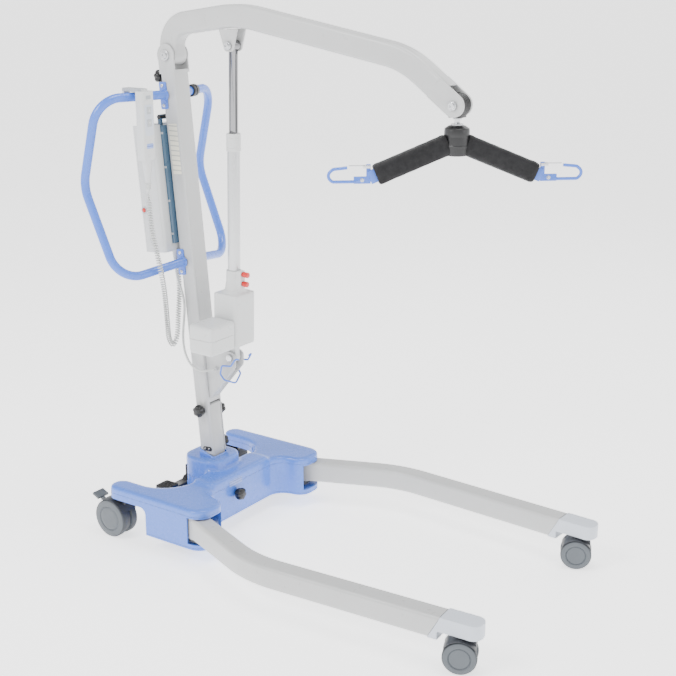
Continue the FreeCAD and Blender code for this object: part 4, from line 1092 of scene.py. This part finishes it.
def sleeve(label, side):
    """A padded sleeve over one arm: a rounded box section with soft ends and slow dents."""
    turn = SPREADER_TURN + (0 if side > 0 else math.pi)
    level = Vector((math.cos(turn), math.sin(turn), 0))
    along = level * math.cos(ARM_SLOPE) - Z * math.sin(ARM_SLOPE)
    above = level * math.sin(ARM_SLOPE) + Z * math.cos(ARM_SLOPE)
    across = above.cross(along)
    first, last, steps, around = 20.0, 187.0, 54, 56

    def build(bm):
        rings = []
        for i in range(steps + 1):
            share = i / steps
            spot = first + (last - first) * (0.5 - 0.5 * math.cos(math.pi * share))
            end = min(spot - first, last - spot)
            shrink = 1 - 0.13 * math.exp(-end / 1.6) + 0.03 * math.exp(-((end - 9) / 5) ** 2)
            ring = []
            for k in range(around):
                angle = 2 * math.pi * k / around
                c, s = math.cos(angle), math.sin(angle)
                power = 4.2
                size = (abs(c) ** power + abs(s) ** power) ** (-1 / power)
                dent = 0.35 * math.sin(spot * 0.21 + 2 * angle) + 0.22 * math.sin(spot * 0.47 - 3 * angle)
                half_w, half_h = 19.2 * shrink + 0.3 * dent, 21.8 * shrink + 0.4 * dent
                ring.append(bm.verts.new(HUB_MIDDLE + (along * spot + across * c * size * half_w
                                                       + above * s * size * half_h) * MM))
            rings.append(ring)
        for a, b in zip(rings, rings[1:]):
            for k in range(around):
                m = (k + 1) % around
                bm.faces.new((a[k], a[m], b[m], b[k]))
        bm.faces.new(rings[0])
        bm.faces.new(rings[-1])
    obj = put(label + "_arm_sleeve", mesh_from(build), "spreader", "pad_black", sharp=60)
    # Seam welt under the sleeve, with a row of stitches on each side of it.
    def welt(bm):
        turned(bm, [(0, first + 12), (0.9, first + 12.5), (0.9, last - 3.5), (0, last - 3)],
               HUB_MIDDLE - above * 22.2 * MM, along, 10)
    put(label + "_sleeve_welt", mesh_from(welt), "spreader", "pad_black")
    for row in (RIGHT, LEFT):
        start = HUB_MIDDLE - above * 22.1 * MM + across * row * 3.2 * MM + along * (first + 14) * MM

        def stitch(bm):
            turned(bm, [(0, -1.6), (0.45, -1.2), (0.45, 1.2), (0, 1.6)], Vector(), along, 6)
        name = "%s_sleeve_stitches_%s" % (label, "left" if row > 0 else "right")
        repeated(name, mesh_from(stitch), "spreader", "dark_plastic", 34, along * 4.4 * MM, start)
    # Blue steel root of the sling hook, where it leaves the sleeve.
    def root(bm):
        place = Matrix((along, across, above)).transposed().to_4x4()
        place.translation = HUB_MIDDLE
        prism(bm, [(180, -6), (202, -6), (202, 6), (180, 6)], -14.2, 14.2, place)
    mesh = evaluated(mesh_from(root), ("BEVEL", {"width": 1.2 * MM, "segments": 2, "limit_method": "ANGLE"}))
    put(label + "_hook_root", mesh, "spreader", "blue_paint")
    return obj


def spreader():
    hub_low = -31.5
    hub = [(6.3, 0), (21, 0), (23.6, 1.6), (26.4, 17), (27.4, 20), (27.6, 22), (26.6, 24), (26.6, 40),
           (27.5, 42), (27.5, 52), (26.4, 56.5), (18.5, 62.4), (16.5, 63), (6.3, 63), (6.3, 0)]
    lathe("spreader_hub", [(r, hub_low + height) for r, height in hub], HUB_MIDDLE, Z, "spreader",
          "black_plastic", segments=72)
    skin("spreader_bar", 0.8)
    for label, side in SIDES.items():
        obj = sleeve(label, side)
        if side > 0:
            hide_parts("spreader_pads")
        skin(label + "_hook", 0.5, sharp=50)
        skin(label + "_latch", 0.25, sharp=40)
        turn = SPREADER_TURN + (0 if side > 0 else math.pi)
        level = Vector((math.cos(turn), math.sin(turn), 0))
        across = Z.cross(level)
        drop, reach = 194 * math.sin(ARM_SLOPE), 194 * math.cos(ARM_SLOPE) + 5
        root = HUB_MIDDLE + (level * reach - Z * drop) * MM
        for spot, out in SIDES.items():
            centre = root + (level * 18 - Z * 7.5 + across * out * 2.8) * MM
            bolt_head("%s_hook_bolt_%s" % (label, spot), centre, across * out, 3.6, "spreader")


hanger()
spreader()


# ---------------------------------------------------------------- floor and light

def studio():
    floor_mesh = mesh_from(lambda bm: block(bm, (-90000, -90000, -60), (90000, 90000, -0.2)), "floor")
    floor = bpy.data.objects.new("studio_floor", floor_mesh)
    material, tree, shader, place = blank_material("pale_floor")
    shade = spread(tree, noise(tree, place, 1.5, 2), 0, 1)
    tree.links.new(mixed(tree, shade, (0.90, 0.90, 0.90), (0.915, 0.915, 0.915)), shader.inputs["Base Color"])
    shader.inputs["Roughness"].default_value = 0.75
    shader.inputs["Specular IOR Level"].default_value = 0.2
    shader.inputs["Emission Color"].default_value = (1, 1, 1, 1)
    shader.inputs["Emission Strength"].default_value = 1.7
    floor_mesh.materials.append(material)
    bpy.context.scene.collection.objects.link(floor)

    world = bpy.data.worlds.new("studio")
    bpy.context.scene.world = world
    world.use_nodes = True
    nodes, links = world.node_tree.nodes, world.node_tree.links
    nodes["Background"].inputs["Color"].default_value = (1, 1, 1, 1)
    # Brighter round the horizon than overhead, like a pale studio wall.
    height = nodes.new("ShaderNodeSeparateXYZ")
    links.new(nodes.new("ShaderNodeTexCoord").outputs["Generated"], height.inputs[0])
    fade = nodes.new("ShaderNodeMapRange")
    for label, value in (("From Min", 0.12), ("From Max", 0.5), ("To Min", 2.2), ("To Max", 0.75)):
        fade.inputs[label].default_value = value
    links.new(height.outputs["Z"], fade.inputs["Value"])
    links.new(fade.outputs["Result"], nodes["Background"].inputs["Strength"])

    target = Vector((0, 0, 0.65))
    lamps = (("key_light", (-1.0, -2.6, 3.0), 1.6, 95), ("top_light", (0.4, 0.2, 3.6), 1.6, 70),
             ("back_light", (0.4, 3.0, 2.6), 2.4, 30), ("front_light", (3.0, 0.6, 1.8), 1.8, 14))
    for name, spot, size, power in lamps:
        data = bpy.data.lights.new(name, "AREA")
        data.shape = "DISK"
        data.size = size
        data.energy = power
        lamp = bpy.data.objects.new(name, data)
        lamp.location = spot
        lamp.rotation_euler = (target - Vector(spot)).to_track_quat("-Z", "Y").to_euler()
        bpy.context.scene.collection.objects.link(lamp)


studio()
